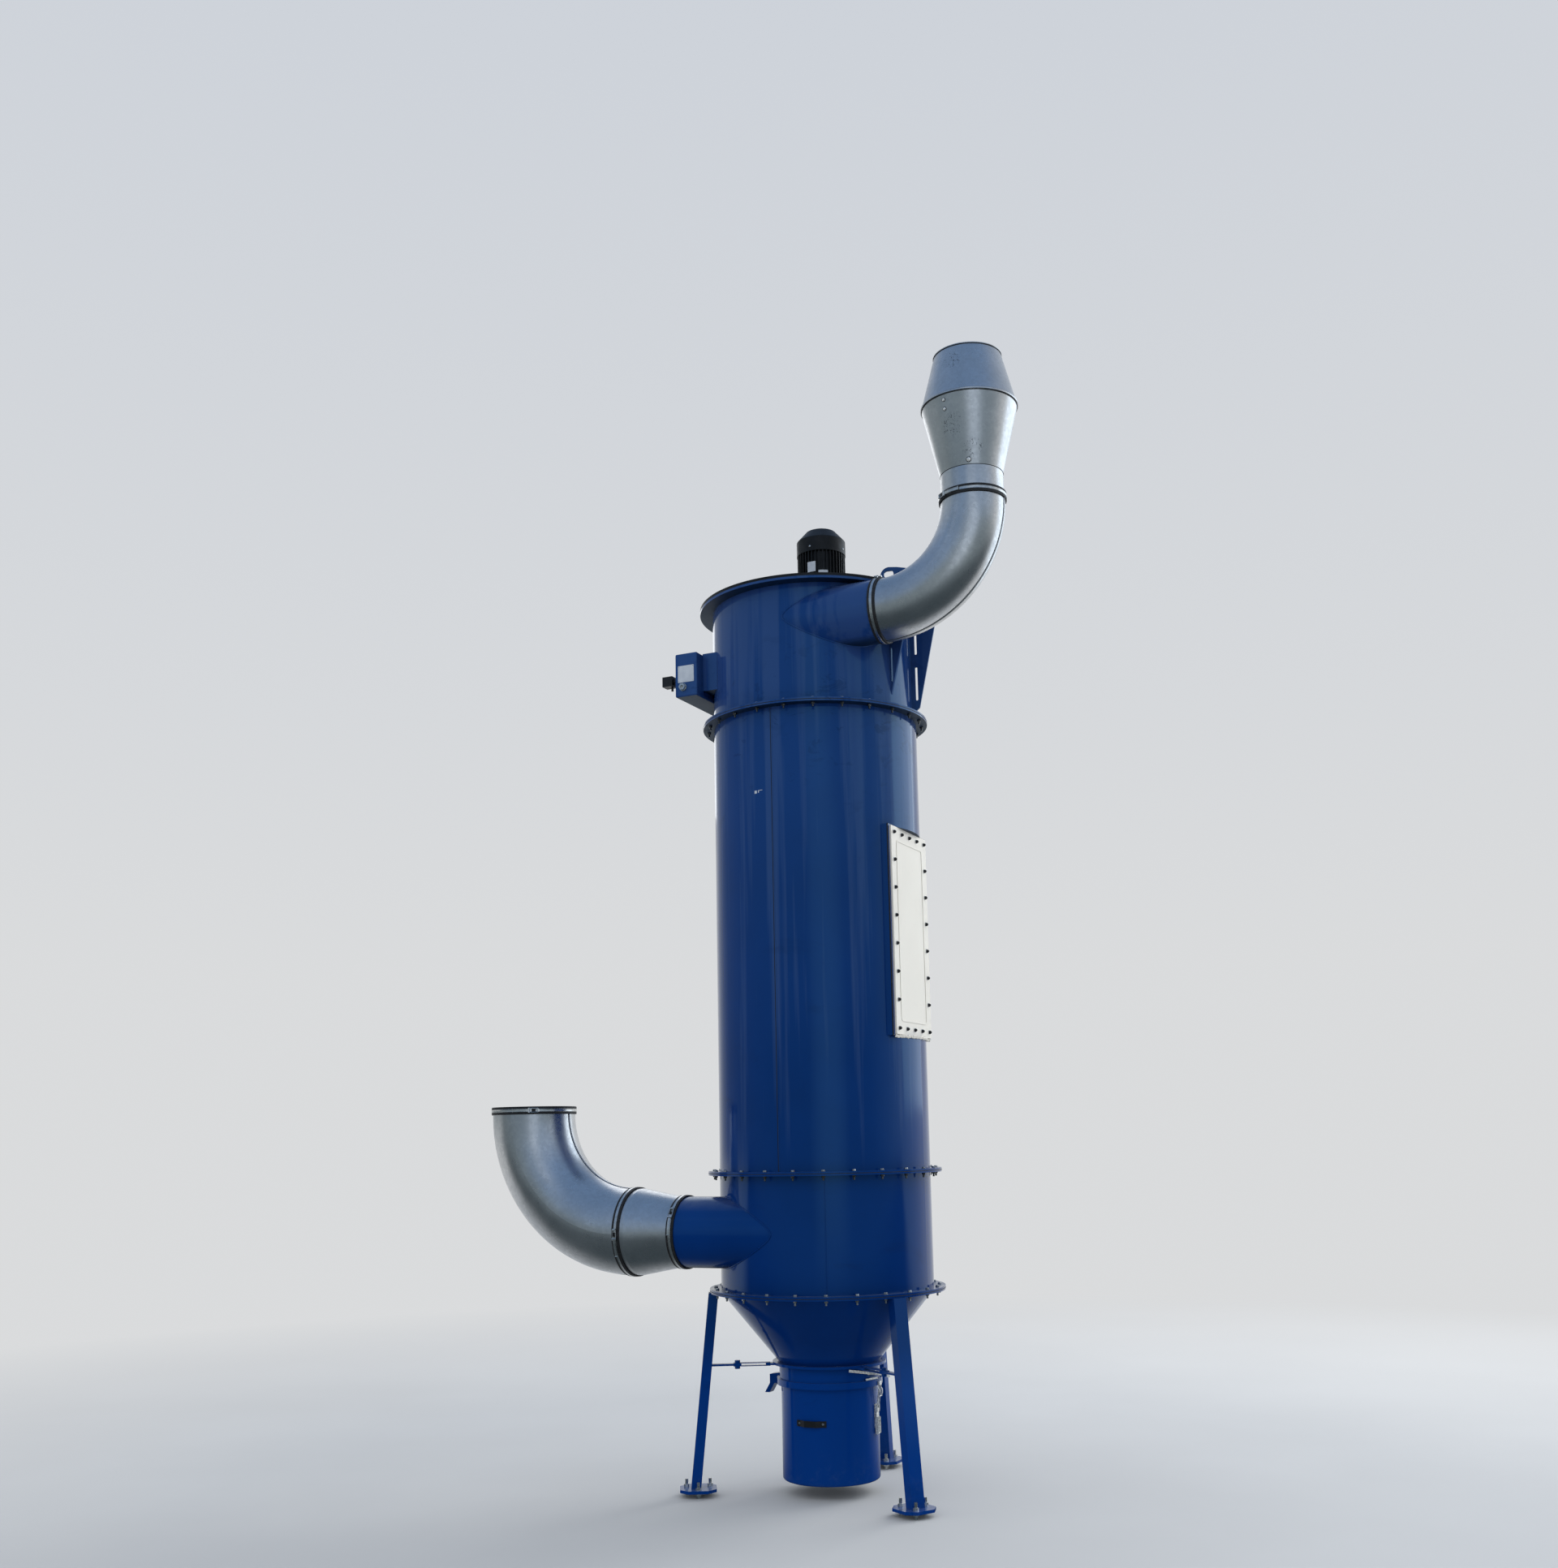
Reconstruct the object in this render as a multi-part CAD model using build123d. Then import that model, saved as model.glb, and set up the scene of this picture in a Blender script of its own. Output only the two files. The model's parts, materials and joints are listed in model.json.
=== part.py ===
from build123d import *
from math import atan2, cos, degrees, hypot, radians, sin
import os

# A cartridge fume filter: a tall round steel vessel on three legs, in mm.
# The origin is on the vessel's axis at floor level. +Z is up, +Y points to the
# back and +X to the side where the cleaned air leaves.

# The vessel: hopper, inlet section, filter body and head, bolted together
BODY_D = 880
SHEET = 4
HOPPER_JOINT_Z = 808
INLET_SECTION_H = 476
BODY_SECTION_H = 1905
HEAD_SECTION_H = 520
JOINT_FLANGE_W = 47
JOINT_FLANGE_T = 8
RIM_W = 55
RIM_T = 10
TOP_PLATE_T = 12

# The hopper's small end, with a lug for each brace
HOPPER_OUTLET_Z = 510
HOPPER_OUTLET_LAP = 2
OUTLET_FLANGE_W = 25
OUTLET_FLANGE_T = 10
LUG_T = 8
LUG_REACH = 29
LUG_ROOT_W = 60
LUG_TIP_W = 30

# The dust bin, hung under the collar by its ring, latch and hook
BIN_D = 398
BIN_SHEET = 2
COLLAR_OUT = 7
COLLAR_SHEET = 2
COLLAR_H = 56
RING_OUT = 17
RING_LAP = 3
RING_H = 25
RING_SHEET = 3
BIN_H = 396
BIN_EDGE_R = 10
BIN_FOOT_H = 6
HANDLE_RISE = 241
HANDLE_W = 24
HANDLE_T = 4
HANDLE_SPAN = 37
HANDLE_PAD_SPAN = 5
HANDLE_STAND_OFF = 14
HANDLE_BEND_R = 1
LATCH_W = 24
LATCH_PLATE_T = 3
LATCH_PLATE_H = 92
LATCH_PLATE_DROP = 167
LATCH_LEVER_DROP = 190
LATCH_LEVER_H = 89
LATCH_LEVER_T = 4
LATCH_LEVER_GAP = 3
LATCH_PIVOT_W = 12
LATCH_PIVOT_H = 12
LATCH_WIRE_D = 5
LATCH_CATCH_H = 16
HOOK_W = 40
HOOK_T = 21
HOOK_STAND_OFF = 26
HOOK_TOP_RISE = 8
HOOK_DROP = 44
HOOK_LIP_H = 38
HOOK_LIP_OUT = 23
LEVER_L = 250
LEVER_H = 10
LEVER_T = 6
LEVER_GRIP_L = 52
LEVER_GRIP_H = 18
LEVER_GRIP_T = 12
LEVER_ANGLE = -18
LEVER_SLOPE = 10
LEVER_STAND_OFF = 5
LEVER_DROP = 27
LEVER_PIVOT_D = 16

# The legs, their foot plates and the studs they are levelled on
FIRST_LEG_ANGLE = 88
LEG_NAMES = ["back", "left", "right"]
LEG_DEPTH = 40
LEG_WIDTH = 60
LEG_WALL = 4
LEG_TOP_OUT = 33
LEG_SPREAD = 79
FOOT_GAP = 20
FOOT_T = 12
FOOT_SIZE = 148
FOOT_CHAMFER = 34
FOOT_SHIFT = 9
STUD_D = 12
STUD_END = 30
STUD_HOLE_D = 16
STUD_CIRCLE_R = 55
FIRST_STUD_ANGLE = 90
STUD_COUNT = 3
NUT_AF = 19
NUT_H = 10

# The braces between the legs and the hopper's lugs
BRACE_T = 8
BRACE_W = 26
BRACE_BOLT_REACH = 116
BRACE_END = 16
STRIP_T = 3
STRIP_LAP = 19
BRACE_BOLT_D = 12

# Dirty air comes in low on the left, tangentially, through an elbow
DUCT_SHEET = 2
DUCT_COLLAR = 15
WELD_LAND = 1
INLET_SPIGOT_D = 288
INLET_RISE = 240
INLET_SPIGOT_REACH = 64
INLET_DUCT_D = 355
REDUCER_L = 234
REDUCER_SMALL_COLLAR = 22
REDUCER_LARGE_COLLAR = 35
INLET_ELBOW_R = 498

# Clean air leaves high on the right, through an elbow and a weather stack
OUTLET_D = 262
OUTLET_RISE = 371
OUTLET_SPIGOT_REACH = 6
OUTLET_ELBOW_R = 389
STACK_COLLAR_INSET = 4
STACK_COLLAR_H = 98
STACK_LIP_H = 6
STACK_WIDE_D = 390
DIFFUSER_H = 290
NOZZLE_H = 223
NOZZLE_D = 274
STACK_BEAD_W = 4
STACK_BEAD_H = 3

# The clamp rings that hold the ducts together
CLAMP_W = 24
CLAMP_T = 7
CLAMP_EDGE_T = 3
CLAMP_CHAMFER = 5

# The explosion vent on the right of the filter body
VENT_RISE = 973
VENT_W = 411
VENT_H = 856
VENT_SINK = 30
VENT_FACE_T = 6
VENT_RING_W = 57
VENT_WALL = 4
VENT_SIDE_MARGIN = 13.5
VENT_LIP = 2
PANEL_GAP = 0.5
PANEL_T = 8
PANEL_CORNER_R = 6
RIDGE_MARGIN = 54
RIDGE_W = 7
RIDGE_H = 2
RIDGE_CORNER_R = 18

# The compressed-air tank on the left of the head, with its valve covers
TANK_OUT = 62
TANK_DEPTH = 106
TANK_RISE = 120
TANK_H = 192
TANK_L = 700
TANK_CORNER_R = 7
COVER_L = 588
COVER_RISE = 28
COVER_H = 166
FITTING_INSET = 50
FITTING_RISE = 86
FITTING_NECK_D = 26
FITTING_NECK_L = 30
FITTING_BODY = 44
FITTING_BODY_L = 48
FITTING_TAP_D = 10
FITTING_TAP_L = 18
PLUG_INSET = 40
PLUG_RISE = 41
PLUG_AF = 27
PLUG_H = 12
PLUG_BORE_D = 13
PLUG_COLLAR_D = 34
PLUG_COLLAR_H = 4

# The fan motor on the top plate
MOTOR_X = 32
MOTOR_Y = 39
MOTOR_FLANGE_D = 230
MOTOR_FLANGE_T = 14
MOTOR_CORE_D = 190
MOTOR_BODY_H = 254
FIN_COUNT = 40
FIN_T = 4
FIN_REACH = 11
COWL_LAP = 2
COWL_SIDE_H = 65
COWL_H = 113
COWL_TOP_D = 130
COWL_EDGE_R = 6
COWL_SHEET = 3
GRILLE_FIRST_R = 22
GRILLE_PITCH = 15
GRILLE_ROWS = 3
GRILLE_SLOT_W = 7
GRILLE_ARCS = 4
GRILLE_ARC_SPAN = 66

# The lifting plates on the right of the head
PLATE_T = 8
LIFTING_PLATE_ANGLE = 6
SIDE_PLATE_ANGLE = -19
RIM_CLEARANCE = 2
LIFT_FOOT_RISE = 16
LIFT_TOE_REACH = 33
LIFT_TOE_RISE = 43
LIFT_KNEE_REACH = 110
LIFT_KNEE_RISE = 401
LIFT_SHOULDER_REACH = 160
LIFT_SHOULDER_RISE = 101
LIFT_TOP_RISE = 159
LIFT_TOP_SLOPE = 9
LOBE_R = 37
LOBE_INSET = 87
EYE_L = 44
EYE_H = 30
PLATE_CORNER_R = 14
PLATE_SLOT_W = 10
PLATE_SLOT_INSET = 22
UPPER_SLOT_RISE = 328
UPPER_SLOT_L = 100
LOWER_SLOT_RISE = 149
LOWER_SLOT_L = 147
SIDE_PLATE_REACH = 85
SIDE_PLATE_FOOT = 61
SIDE_PLATE_SLOPE_H = 275
SIDE_TAB_H = 14
SIDE_SLOT_W = 7
SIDE_SLOT_INSET = 8
SIDE_SLOT_RISE = 188
SIDE_SLOT_L = 147

# Places that follow from the sizes
BODY_R = BODY_D / 2
BODY_IN_R = BODY_R - SHEET
FLANGE_R = BODY_R + JOINT_FLANGE_W
RIM_R = BODY_R + RIM_W
INLET_JOINT_Z = HOPPER_JOINT_Z + INLET_SECTION_H
HEAD_JOINT_Z = INLET_JOINT_Z + BODY_SECTION_H
RIM_TOP_Z = HEAD_JOINT_Z + HEAD_SECTION_H
RIM_Z = RIM_TOP_Z - RIM_T
TOP_Z = RIM_TOP_Z + TOP_PLATE_T
BIN_R = BIN_D / 2
COLLAR_R = BIN_R + COLLAR_OUT
RING_R = BIN_R + RING_OUT
RING_IN_R = BIN_R - RING_LAP
RING_Z = HOPPER_OUTLET_Z - COLLAR_H - RING_H
RING_TOP_Z = RING_Z + RING_H
BIN_TOP_Z = RING_TOP_Z - RING_SHEET
BIN_Z = BIN_TOP_Z - BIN_H
HANDLE_Z = BIN_Z + HANDLE_RISE
LATCH_PLATE_Z = RING_Z - LATCH_PLATE_DROP
LATCH_LEVER_Z = RING_Z - LATCH_LEVER_DROP
HOPPER_OUTLET_R = COLLAR_R + HOPPER_OUTLET_LAP
OUTLET_FLANGE_R = HOPPER_OUTLET_R + OUTLET_FLANGE_W
LUG_OUT_R = OUTLET_FLANGE_R + LUG_REACH
LUG_Z = HOPPER_OUTLET_Z - LUG_T / 2
BRACE_BOLT_R = LUG_OUT_R + BRACE_BOLT_REACH
STRIP_IN_R = LUG_OUT_R - STRIP_LAP
LEG_TOP_R = BODY_R + LEG_TOP_OUT
LEG_FOOT_R = LEG_TOP_R + LEG_SPREAD
FOOT_R = LEG_FOOT_R - FOOT_SHIFT
FOOT_TOP_Z = FOOT_GAP + FOOT_T
LEG_TOP_Z = HOPPER_JOINT_Z - JOINT_FLANGE_T
LEG_ANGLES = {name: FIRST_LEG_ANGLE + 120 * i for i, name in enumerate(LEG_NAMES)}
INLET_SPIGOT_R = INLET_SPIGOT_D / 2
INLET_SPIGOT_END = BODY_R + INLET_SPIGOT_REACH
INLET_DUCT_R = INLET_DUCT_D / 2
INLET_Z = HOPPER_JOINT_Z + INLET_RISE
OUTLET_R = OUTLET_D / 2
OUTLET_SPIGOT_END = BODY_R + OUTLET_SPIGOT_REACH
OUTLET_Z = HEAD_JOINT_Z + OUTLET_RISE
VENT_Z = INLET_JOINT_Z + VENT_RISE
VENT_FACE_X = BODY_R - VENT_SINK
VENT_BOX_W = VENT_W + 2 * VENT_SIDE_MARGIN
VENT_BOX_H = VENT_H + 2 * (VENT_WALL + PANEL_GAP)
TANK_X = -(BODY_R + TANK_OUT)
TANK_Z = HEAD_JOINT_Z + TANK_RISE
COVER_Z = TANK_Z + COVER_RISE
FITTING_Y = FITTING_INSET - TANK_L / 2
FITTING_Z = TANK_Z + FITTING_RISE
PLUG_X = TANK_X + PLUG_INSET
PLUG_Z = TANK_Z + PLUG_RISE
MOTOR_FIN_R = MOTOR_CORE_D / 2 + FIN_REACH
LOBE_CENTRE_R = BODY_R - LOBE_INSET

# A duct's inner wall runs into the vessel's inner wall nearly in line
INLET_Y = -(BODY_IN_R - WELD_LAND - INLET_SPIGOT_R + DUCT_SHEET)
OUTLET_Y = -(BODY_IN_R - WELD_LAND - OUTLET_R + DUCT_SHEET)

os.makedirs("parts", exist_ok=True)


def save(name, solid):
    export_step(solid, f"parts/{name}.step")


def ring(r_out, r_in, z0, z1):
    """A round wall about the vessel's axis, from height z0 to z1."""
    return Pos(0, 0, z0) * extrude(Circle(r_out) - Circle(r_in), z1 - z0)


def turned(*points):
    """A solid turned about the Z axis from (radius, height) points."""
    return revolve(Plane.XZ * make_face(Polyline(*points, close=True)), Axis.Z)


def block(x0, x1, y0, y1, z0, z1):
    """A plain block between these planes."""
    centre = Pos((x0 + x1) / 2, (y0 + y1) / 2, (z0 + z1) / 2)
    return centre * Box(x1 - x0, y1 - y0, z1 - z0)


def standing(outline, thickness):
    """A plate with this outline, standing in the XZ plane."""
    return extrude(Plane.XZ * outline, thickness / 2, both=True)


def radial_plate(points, thickness):
    """A standing plate from (radius, height) points."""
    return standing(make_face(Polyline(*points, close=True)), thickness)


def rod(radius, z0, z1):
    """A round solid about the vessel's axis, also used as a cutter."""
    return Pos(0, 0, z0) * extrude(Circle(radius), z1 - z0)


def tube_x(r_out, r_in, x0, x1, y, z):
    """A straight tube along X; r_in 0 gives a solid rod."""
    end = Circle(r_out) - Circle(r_in) if r_in else Circle(r_out)
    return Pos(x0, y, z) * Rot(0, 90, 0) * extrude(end, x1 - x0)


def section(z0, z1):
    """A round vessel section with a bolting flange at each end."""
    wall = ring(BODY_R, BODY_IN_R, z0, z1)
    low = ring(FLANGE_R, BODY_IN_R, z0, z0 + JOINT_FLANGE_T)
    high = ring(FLANGE_R, BODY_IN_R, z1 - JOINT_FLANGE_T, z1)
    return wall + low + high


def hopper():
    """The cone under the vessel, its two flanges and the brace lugs."""
    small_r = HOPPER_OUTLET_R
    small_z = HOPPER_OUTLET_Z + OUTLET_FLANGE_T
    drop = LEG_TOP_Z - small_z
    wall = SHEET * hypot(BODY_R - small_r, drop) / drop
    cone = turned((BODY_R, LEG_TOP_Z), (BODY_R - wall, LEG_TOP_Z),
                  (small_r - wall, small_z), (small_r, small_z))
    top = ring(FLANGE_R, BODY_R - wall, LEG_TOP_Z, HOPPER_JOINT_Z)
    bottom = ring(OUTLET_FLANGE_R, small_r - wall, HOPPER_OUTLET_Z, small_z)
    part = cone + top + bottom
    root = COLLAR_R + WELD_LAND
    outline = Polyline((root, -LUG_ROOT_W / 2), (LUG_OUT_R, -LUG_TIP_W / 2),
                       (LUG_OUT_R, LUG_TIP_W / 2), (root, LUG_ROOT_W / 2), close=True)
    lug = extrude(make_face(outline), LUG_T)
    for angle in LEG_ANGLES.values():
        part += Rot(0, 0, angle) * Pos(0, 0, LUG_Z) * lug
    return part


def dust_bin():
    """A drum with a rounded bottom edge and a raised floor inside it."""
    outer = Pos(0, 0, BIN_Z) * extrude(Circle(BIN_R), BIN_H)
    outer = fillet(outer.edges().group_by(Axis.Z)[0], BIN_EDGE_R)
    inner = Pos(0, 0, BIN_Z + BIN_FOOT_H) * extrude(Circle(BIN_R - BIN_SHEET), BIN_H)
    inner = fillet(inner.edges().group_by(Axis.Z)[0], BIN_EDGE_R)
    foot = Pos(0, 0, BIN_Z) * extrude(Circle(BIN_R - BIN_EDGE_R), BIN_FOOT_H - BIN_SHEET)
    return outer - inner - foot


def bin_ring():
    """The folded ring over the bin's mouth, under the collar."""
    skirt = RING_R - RING_SHEET
    return turned((RING_IN_R, RING_TOP_Z), (RING_R, RING_TOP_Z), (RING_R, RING_Z),
                  (skirt, RING_Z), (skirt, BIN_TOP_Z), (RING_IN_R, BIN_TOP_Z))


def bin_handle():
    """A strap bowed round the front of the bin, flat on it at both ends."""
    top = HANDLE_Z + HANDLE_W / 2
    low = HANDLE_Z - HANDLE_W / 2
    near = BIN_R + HANDLE_T
    far = BIN_R + HANDLE_STAND_OFF
    half = HANDLE_SPAN / 2
    pad = half - HANDLE_PAD_SPAN

    def at(r, angle):
        return (r * sin(radians(angle)), -r * cos(radians(angle)))

    outside = [at(near, -half), at(near, -pad), at(far, -pad / 2), at(far, pad / 2),
               at(near, pad), at(near, half)]
    inside = [at(BIN_R, half), at(BIN_R, pad), at(far - HANDLE_T, pad / 2),
              at(far - HANDLE_T, -pad / 2), at(BIN_R, -pad), at(BIN_R, -half)]
    strap = make_face(FilletPolyline(*outside, *inside, close=True, radius=HANDLE_BEND_R))
    return Pos(0, 0, low) * extrude(strap, top - low) - rod(BIN_R, low, top)


def bin_latch():
    """The toggle latch on the bin's right, hooked to the ring above."""
    plate = block(BIN_R - 1, BIN_R + LATCH_PLATE_T, -LATCH_W / 2, LATCH_W / 2,
                  LATCH_PLATE_Z, LATCH_PLATE_Z + LATCH_PLATE_H)
    plate -= rod(BIN_R, BIN_Z, BIN_TOP_Z)
    lever_x = BIN_R + LATCH_PLATE_T + LATCH_LEVER_GAP
    lever_top = LATCH_LEVER_Z + LATCH_LEVER_H
    lever = block(lever_x, lever_x + LATCH_LEVER_T, -LATCH_W / 2, LATCH_W / 2,
                  LATCH_LEVER_Z, lever_top)
    pivot = block(BIN_R + LATCH_PLATE_T, lever_x, -LATCH_PIVOT_W / 2, LATCH_PIVOT_W / 2,
                  lever_top - LATCH_PIVOT_H, lever_top)
    catch_x = RING_R
    catch = block(catch_x, catch_x + LATCH_PLATE_T + LATCH_WIRE_D, -LATCH_W / 2, LATCH_W / 2,
                  RING_Z, RING_Z + LATCH_CATCH_H) - rod(catch_x, RING_Z, RING_TOP_Z)
    wire_r = LATCH_WIRE_D / 2
    foot = Vector(lever_x + LATCH_LEVER_T / 2, 0, lever_top - LATCH_WIRE_D)
    head = Vector(catch_x + LATCH_PLATE_T + wire_r, 0, RING_Z + wire_r)
    run = head - foot
    lean = degrees(atan2(run.X, run.Z))
    part = plate + lever + pivot + catch
    for side in (-1, 1):
        start = Pos(foot.X, side * (LATCH_W / 2 - wire_r), foot.Z)
        part += start * Rot(0, lean, 0) * extrude(Circle(wire_r), run.length)
    return part


def bin_hook():
    """The catch on the ring's left, with its lip bent out and down."""
    top = RING_TOP_Z + HOOK_TOP_RISE
    inner = RING_R
    outer = inner + HOOK_STAND_OFF + HOOK_T
    low = top - HOOK_DROP
    points = [(COLLAR_R, top), (inner + HOOK_STAND_OFF, top - HOOK_TOP_RISE / 2),
              (outer, top - HOOK_TOP_RISE), (outer, low), (outer + HOOK_LIP_OUT, low - HOOK_LIP_H),
              (outer + HOOK_LIP_OUT - HOOK_T, low - HOOK_LIP_H), (outer - HOOK_T, low),
              (inner, low), (inner, RING_TOP_Z), (COLLAR_R, RING_TOP_Z)]
    hook = Rot(0, 0, 180) * radial_plate(points, HOOK_W)
    hook -= rod(COLLAR_R, RING_TOP_Z, top)
    return hook - rod(inner, low - HOOK_LIP_H, RING_TOP_Z)


def closing_lever():
    """The lever that pulls the ring up, lying along the collar's right."""
    x = COLLAR_R + LEVER_STAND_OFF
    z = HOPPER_OUTLET_Z - LEVER_DROP
    half = LEVER_L / 2
    bar = block(x, x + LEVER_T, -half, half, -LEVER_H / 2, LEVER_H / 2)
    grip = block(x - (LEVER_GRIP_T - LEVER_T) / 2, x + (LEVER_GRIP_T + LEVER_T) / 2,
                 half - LEVER_GRIP_L, half, -LEVER_GRIP_H / 2, LEVER_GRIP_H / 2)
    lever = Pos(0, 0, z) * Rot(-LEVER_SLOPE, 0, 0) * (bar + grip)
    pivot = tube_x(LEVER_PIVOT_D / 2, 0, COLLAR_R - COLLAR_SHEET, x, 0, z)
    pivot -= rod(COLLAR_R, RING_TOP_Z, HOPPER_OUTLET_Z)
    return Rot(0, 0, LEVER_ANGLE) * (lever + pivot)


def leg_profile(depth):
    """The leg's sloped side view at this radial depth."""
    half = depth / 2
    return [(LEG_FOOT_R - half, FOOT_TOP_Z), (LEG_FOOT_R + half, FOOT_TOP_Z),
            (LEG_TOP_R + half, LEG_TOP_Z), (LEG_TOP_R - half, LEG_TOP_Z)]


def leg():
    """A sloped rectangular tube, closed by the foot plate and the flange."""
    outside = radial_plate(leg_profile(LEG_DEPTH), LEG_WIDTH)
    inside = radial_plate(leg_profile(LEG_DEPTH - 2 * LEG_WALL), LEG_WIDTH - 2 * LEG_WALL)
    return outside - inside


def stud_places():
    """Where the studs stand round a foot plate's centre."""
    turn = 360 / STUD_COUNT
    angles = [radians(FIRST_STUD_ANGLE - turn * i) for i in range(STUD_COUNT)]
    return [Pos(FOOT_R + STUD_CIRCLE_R * cos(a), STUD_CIRCLE_R * sin(a), 0) for a in angles]


def foot_plate():
    outline = chamfer(Rectangle(FOOT_SIZE, FOOT_SIZE).vertices(), FOOT_CHAMFER)
    plate = Pos(FOOT_R, 0, FOOT_GAP) * extrude(outline, FOOT_T)
    for place in stud_places():
        plate -= place * extrude(Circle(STUD_HOLE_D / 2), FOOT_TOP_Z)
    return plate


def anchor_stud():
    """A stud with a levelling nut under the foot plate and one above it."""
    nut = extrude(RegularPolygon(NUT_AF / 2, 6, major_radius=False), NUT_H)
    low = Pos(0, 0, FOOT_GAP - NUT_H) * nut
    high = Pos(0, 0, FOOT_TOP_Z) * nut
    return extrude(Circle(STUD_D / 2), FOOT_TOP_Z + STUD_END) + low + high


def brace(leg_outline):
    """A flat bar from the leg, bolted between two strips that hold the lug."""
    middle = LUG_Z + LUG_T / 2
    bar = block(BRACE_BOLT_R - BRACE_END, LEG_FOOT_R, -BRACE_W / 2, BRACE_W / 2,
                middle - BRACE_T / 2, middle + BRACE_T / 2) - leg_outline
    bar = bar.solids().sort_by(Axis.X)[0]
    bolt_l = BRACE_T + 2 * STRIP_T + 2 * NUT_H
    bolt = Pos(BRACE_BOLT_R, 0, middle - bolt_l / 2)
    nut = extrude(RegularPolygon(NUT_AF / 2, 6, major_radius=False), NUT_H)
    part = Part() + bar + bolt * extrude(Circle(BRACE_BOLT_D / 2), bolt_l)
    for side in (-1, 1):
        base = middle + side * (LUG_T + STRIP_T) / 2
        part += block(STRIP_IN_R, BRACE_BOLT_R + BRACE_END, -BRACE_W / 2, BRACE_W / 2,
                      base - STRIP_T / 2, base + STRIP_T / 2)
        nut_z = middle + side * (LUG_T / 2 + STRIP_T + NUT_H / 2) - NUT_H / 2
        part += Pos(BRACE_BOLT_R, 0, nut_z) * nut
    return part


def sheet_turned(*outer):
    """A turned duct wall from the (radius, height) points of its outside."""
    inner = [(r - DUCT_SHEET, z) for r, z in reversed(outer)]
    return turned(*outer, *inner)


def reducer():
    """The cone from the inlet spigot up to the duct's size, with end collars."""
    small = INLET_SPIGOT_R
    large = INLET_DUCT_R
    last = REDUCER_L - REDUCER_LARGE_COLLAR
    cone = sheet_turned((small, 0), (small, REDUCER_SMALL_COLLAR), (large, last),
                        (large, REDUCER_L))
    return Pos(-INLET_SPIGOT_END, INLET_Y, INLET_Z) * Rot(0, -90, 0) * cone


def elbow(radius, bend):
    """A quarter bend from the origin along +X and up, with straight ends."""
    annulus = Plane.YZ * (Circle(radius) - Circle(radius - DUCT_SHEET))
    start = extrude(annulus, DUCT_COLLAR)
    axis = Axis((DUCT_COLLAR, 0, bend), (0, -1, 0))
    curve = revolve(Pos(DUCT_COLLAR, 0, 0) * annulus, axis, 90)
    end = extrude(Circle(radius) - Circle(radius - DUCT_SHEET), DUCT_COLLAR)
    return start + curve + Pos(DUCT_COLLAR + bend, 0, bend) * end


def clamp(radius):
    """A clamp ring about the Z axis, half on each of the two ducts it joins."""
    half = CLAMP_W / 2
    outer = radius + CLAMP_T
    edge = radius + CLAMP_EDGE_T
    return turned((radius, -half), (edge, -half), (outer, -half + CLAMP_CHAMFER),
                  (outer, half - CLAMP_CHAMFER), (edge, half), (radius, half))


def diffuser():
    """The stack's foot and widening cone, lipped where the clamp grips it."""
    low = OUTLET_R - STACK_COLLAR_INSET
    high = STACK_WIDE_D / 2
    top = STACK_COLLAR_H + DIFFUSER_H
    wall = sheet_turned((low, 0), (low, STACK_COLLAR_H), (high, top))
    lip = ring(OUTLET_R, low - DUCT_SHEET, 0, STACK_LIP_H)
    return wall + lip + ring(high + STACK_BEAD_W, high - DUCT_SHEET, top - STACK_BEAD_H, top)


def nozzle():
    """The stack's narrowing cone, with a rolled bead at each end."""
    low = STACK_WIDE_D / 2
    high = NOZZLE_D / 2
    top = NOZZLE_H
    part = sheet_turned((low, 0), (high, top))
    part += ring(low + STACK_BEAD_W, low - DUCT_SHEET, 0, STACK_BEAD_H)
    part += ring(high + STACK_BEAD_W, high - DUCT_SHEET, top - STACK_BEAD_H, top)
    return Pos(0, 0, STACK_COLLAR_H + DIFFUSER_H) * part


def vent_frame():
    """A box let into the vessel's skin, with the panel's bolting face on it."""
    outline = Rectangle(VENT_BOX_W, VENT_BOX_H)
    hole = Rectangle(VENT_BOX_W - 2 * VENT_WALL, VENT_BOX_H - 2 * VENT_WALL)
    opening = Rectangle(VENT_W - 2 * VENT_RING_W, VENT_H - 2 * VENT_RING_W)
    start = VENT_FACE_X - VENT_FACE_T
    low = VENT_Z - VENT_H
    high = VENT_Z + VENT_H
    tube = extrude(Plane.YZ * (outline - hole), BODY_R)
    inside = block(start, BODY_R, -VENT_W, VENT_W, low, high) & rod(BODY_R, low, high)
    outside = block(0, VENT_FACE_X, -VENT_W, VENT_W, low, high)
    outside -= rod(BODY_IN_R - VENT_LIP, low, high)
    walls = Pos(0, 0, VENT_Z) * tube & (inside + outside)
    return walls + Pos(start, 0, VENT_Z) * extrude(Plane.YZ * (outline - opening), VENT_FACE_T)


def vent_cutter():
    half_w = VENT_BOX_W / 2
    half_h = VENT_BOX_H / 2
    return block(0, BODY_D, -half_w, half_w, VENT_Z - half_h, VENT_Z + half_h)


def vent_panel():
    """The thin burst panel with the raised line round its middle."""
    plate = extrude(Plane.YZ * RectangleRounded(VENT_W, VENT_H, PANEL_CORNER_R), PANEL_T)
    width = VENT_W - 2 * RIDGE_MARGIN
    height = VENT_H - 2 * RIDGE_MARGIN
    line = RectangleRounded(width, height, RIDGE_CORNER_R)
    line -= RectangleRounded(width - 2 * RIDGE_W, height - 2 * RIDGE_W, RIDGE_CORNER_R - RIDGE_W)
    ridge = Pos(PANEL_T, 0, 0) * extrude(Plane.YZ * line, RIDGE_H)
    return Pos(VENT_FACE_X, 0, VENT_Z) * (plate + ridge)


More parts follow.
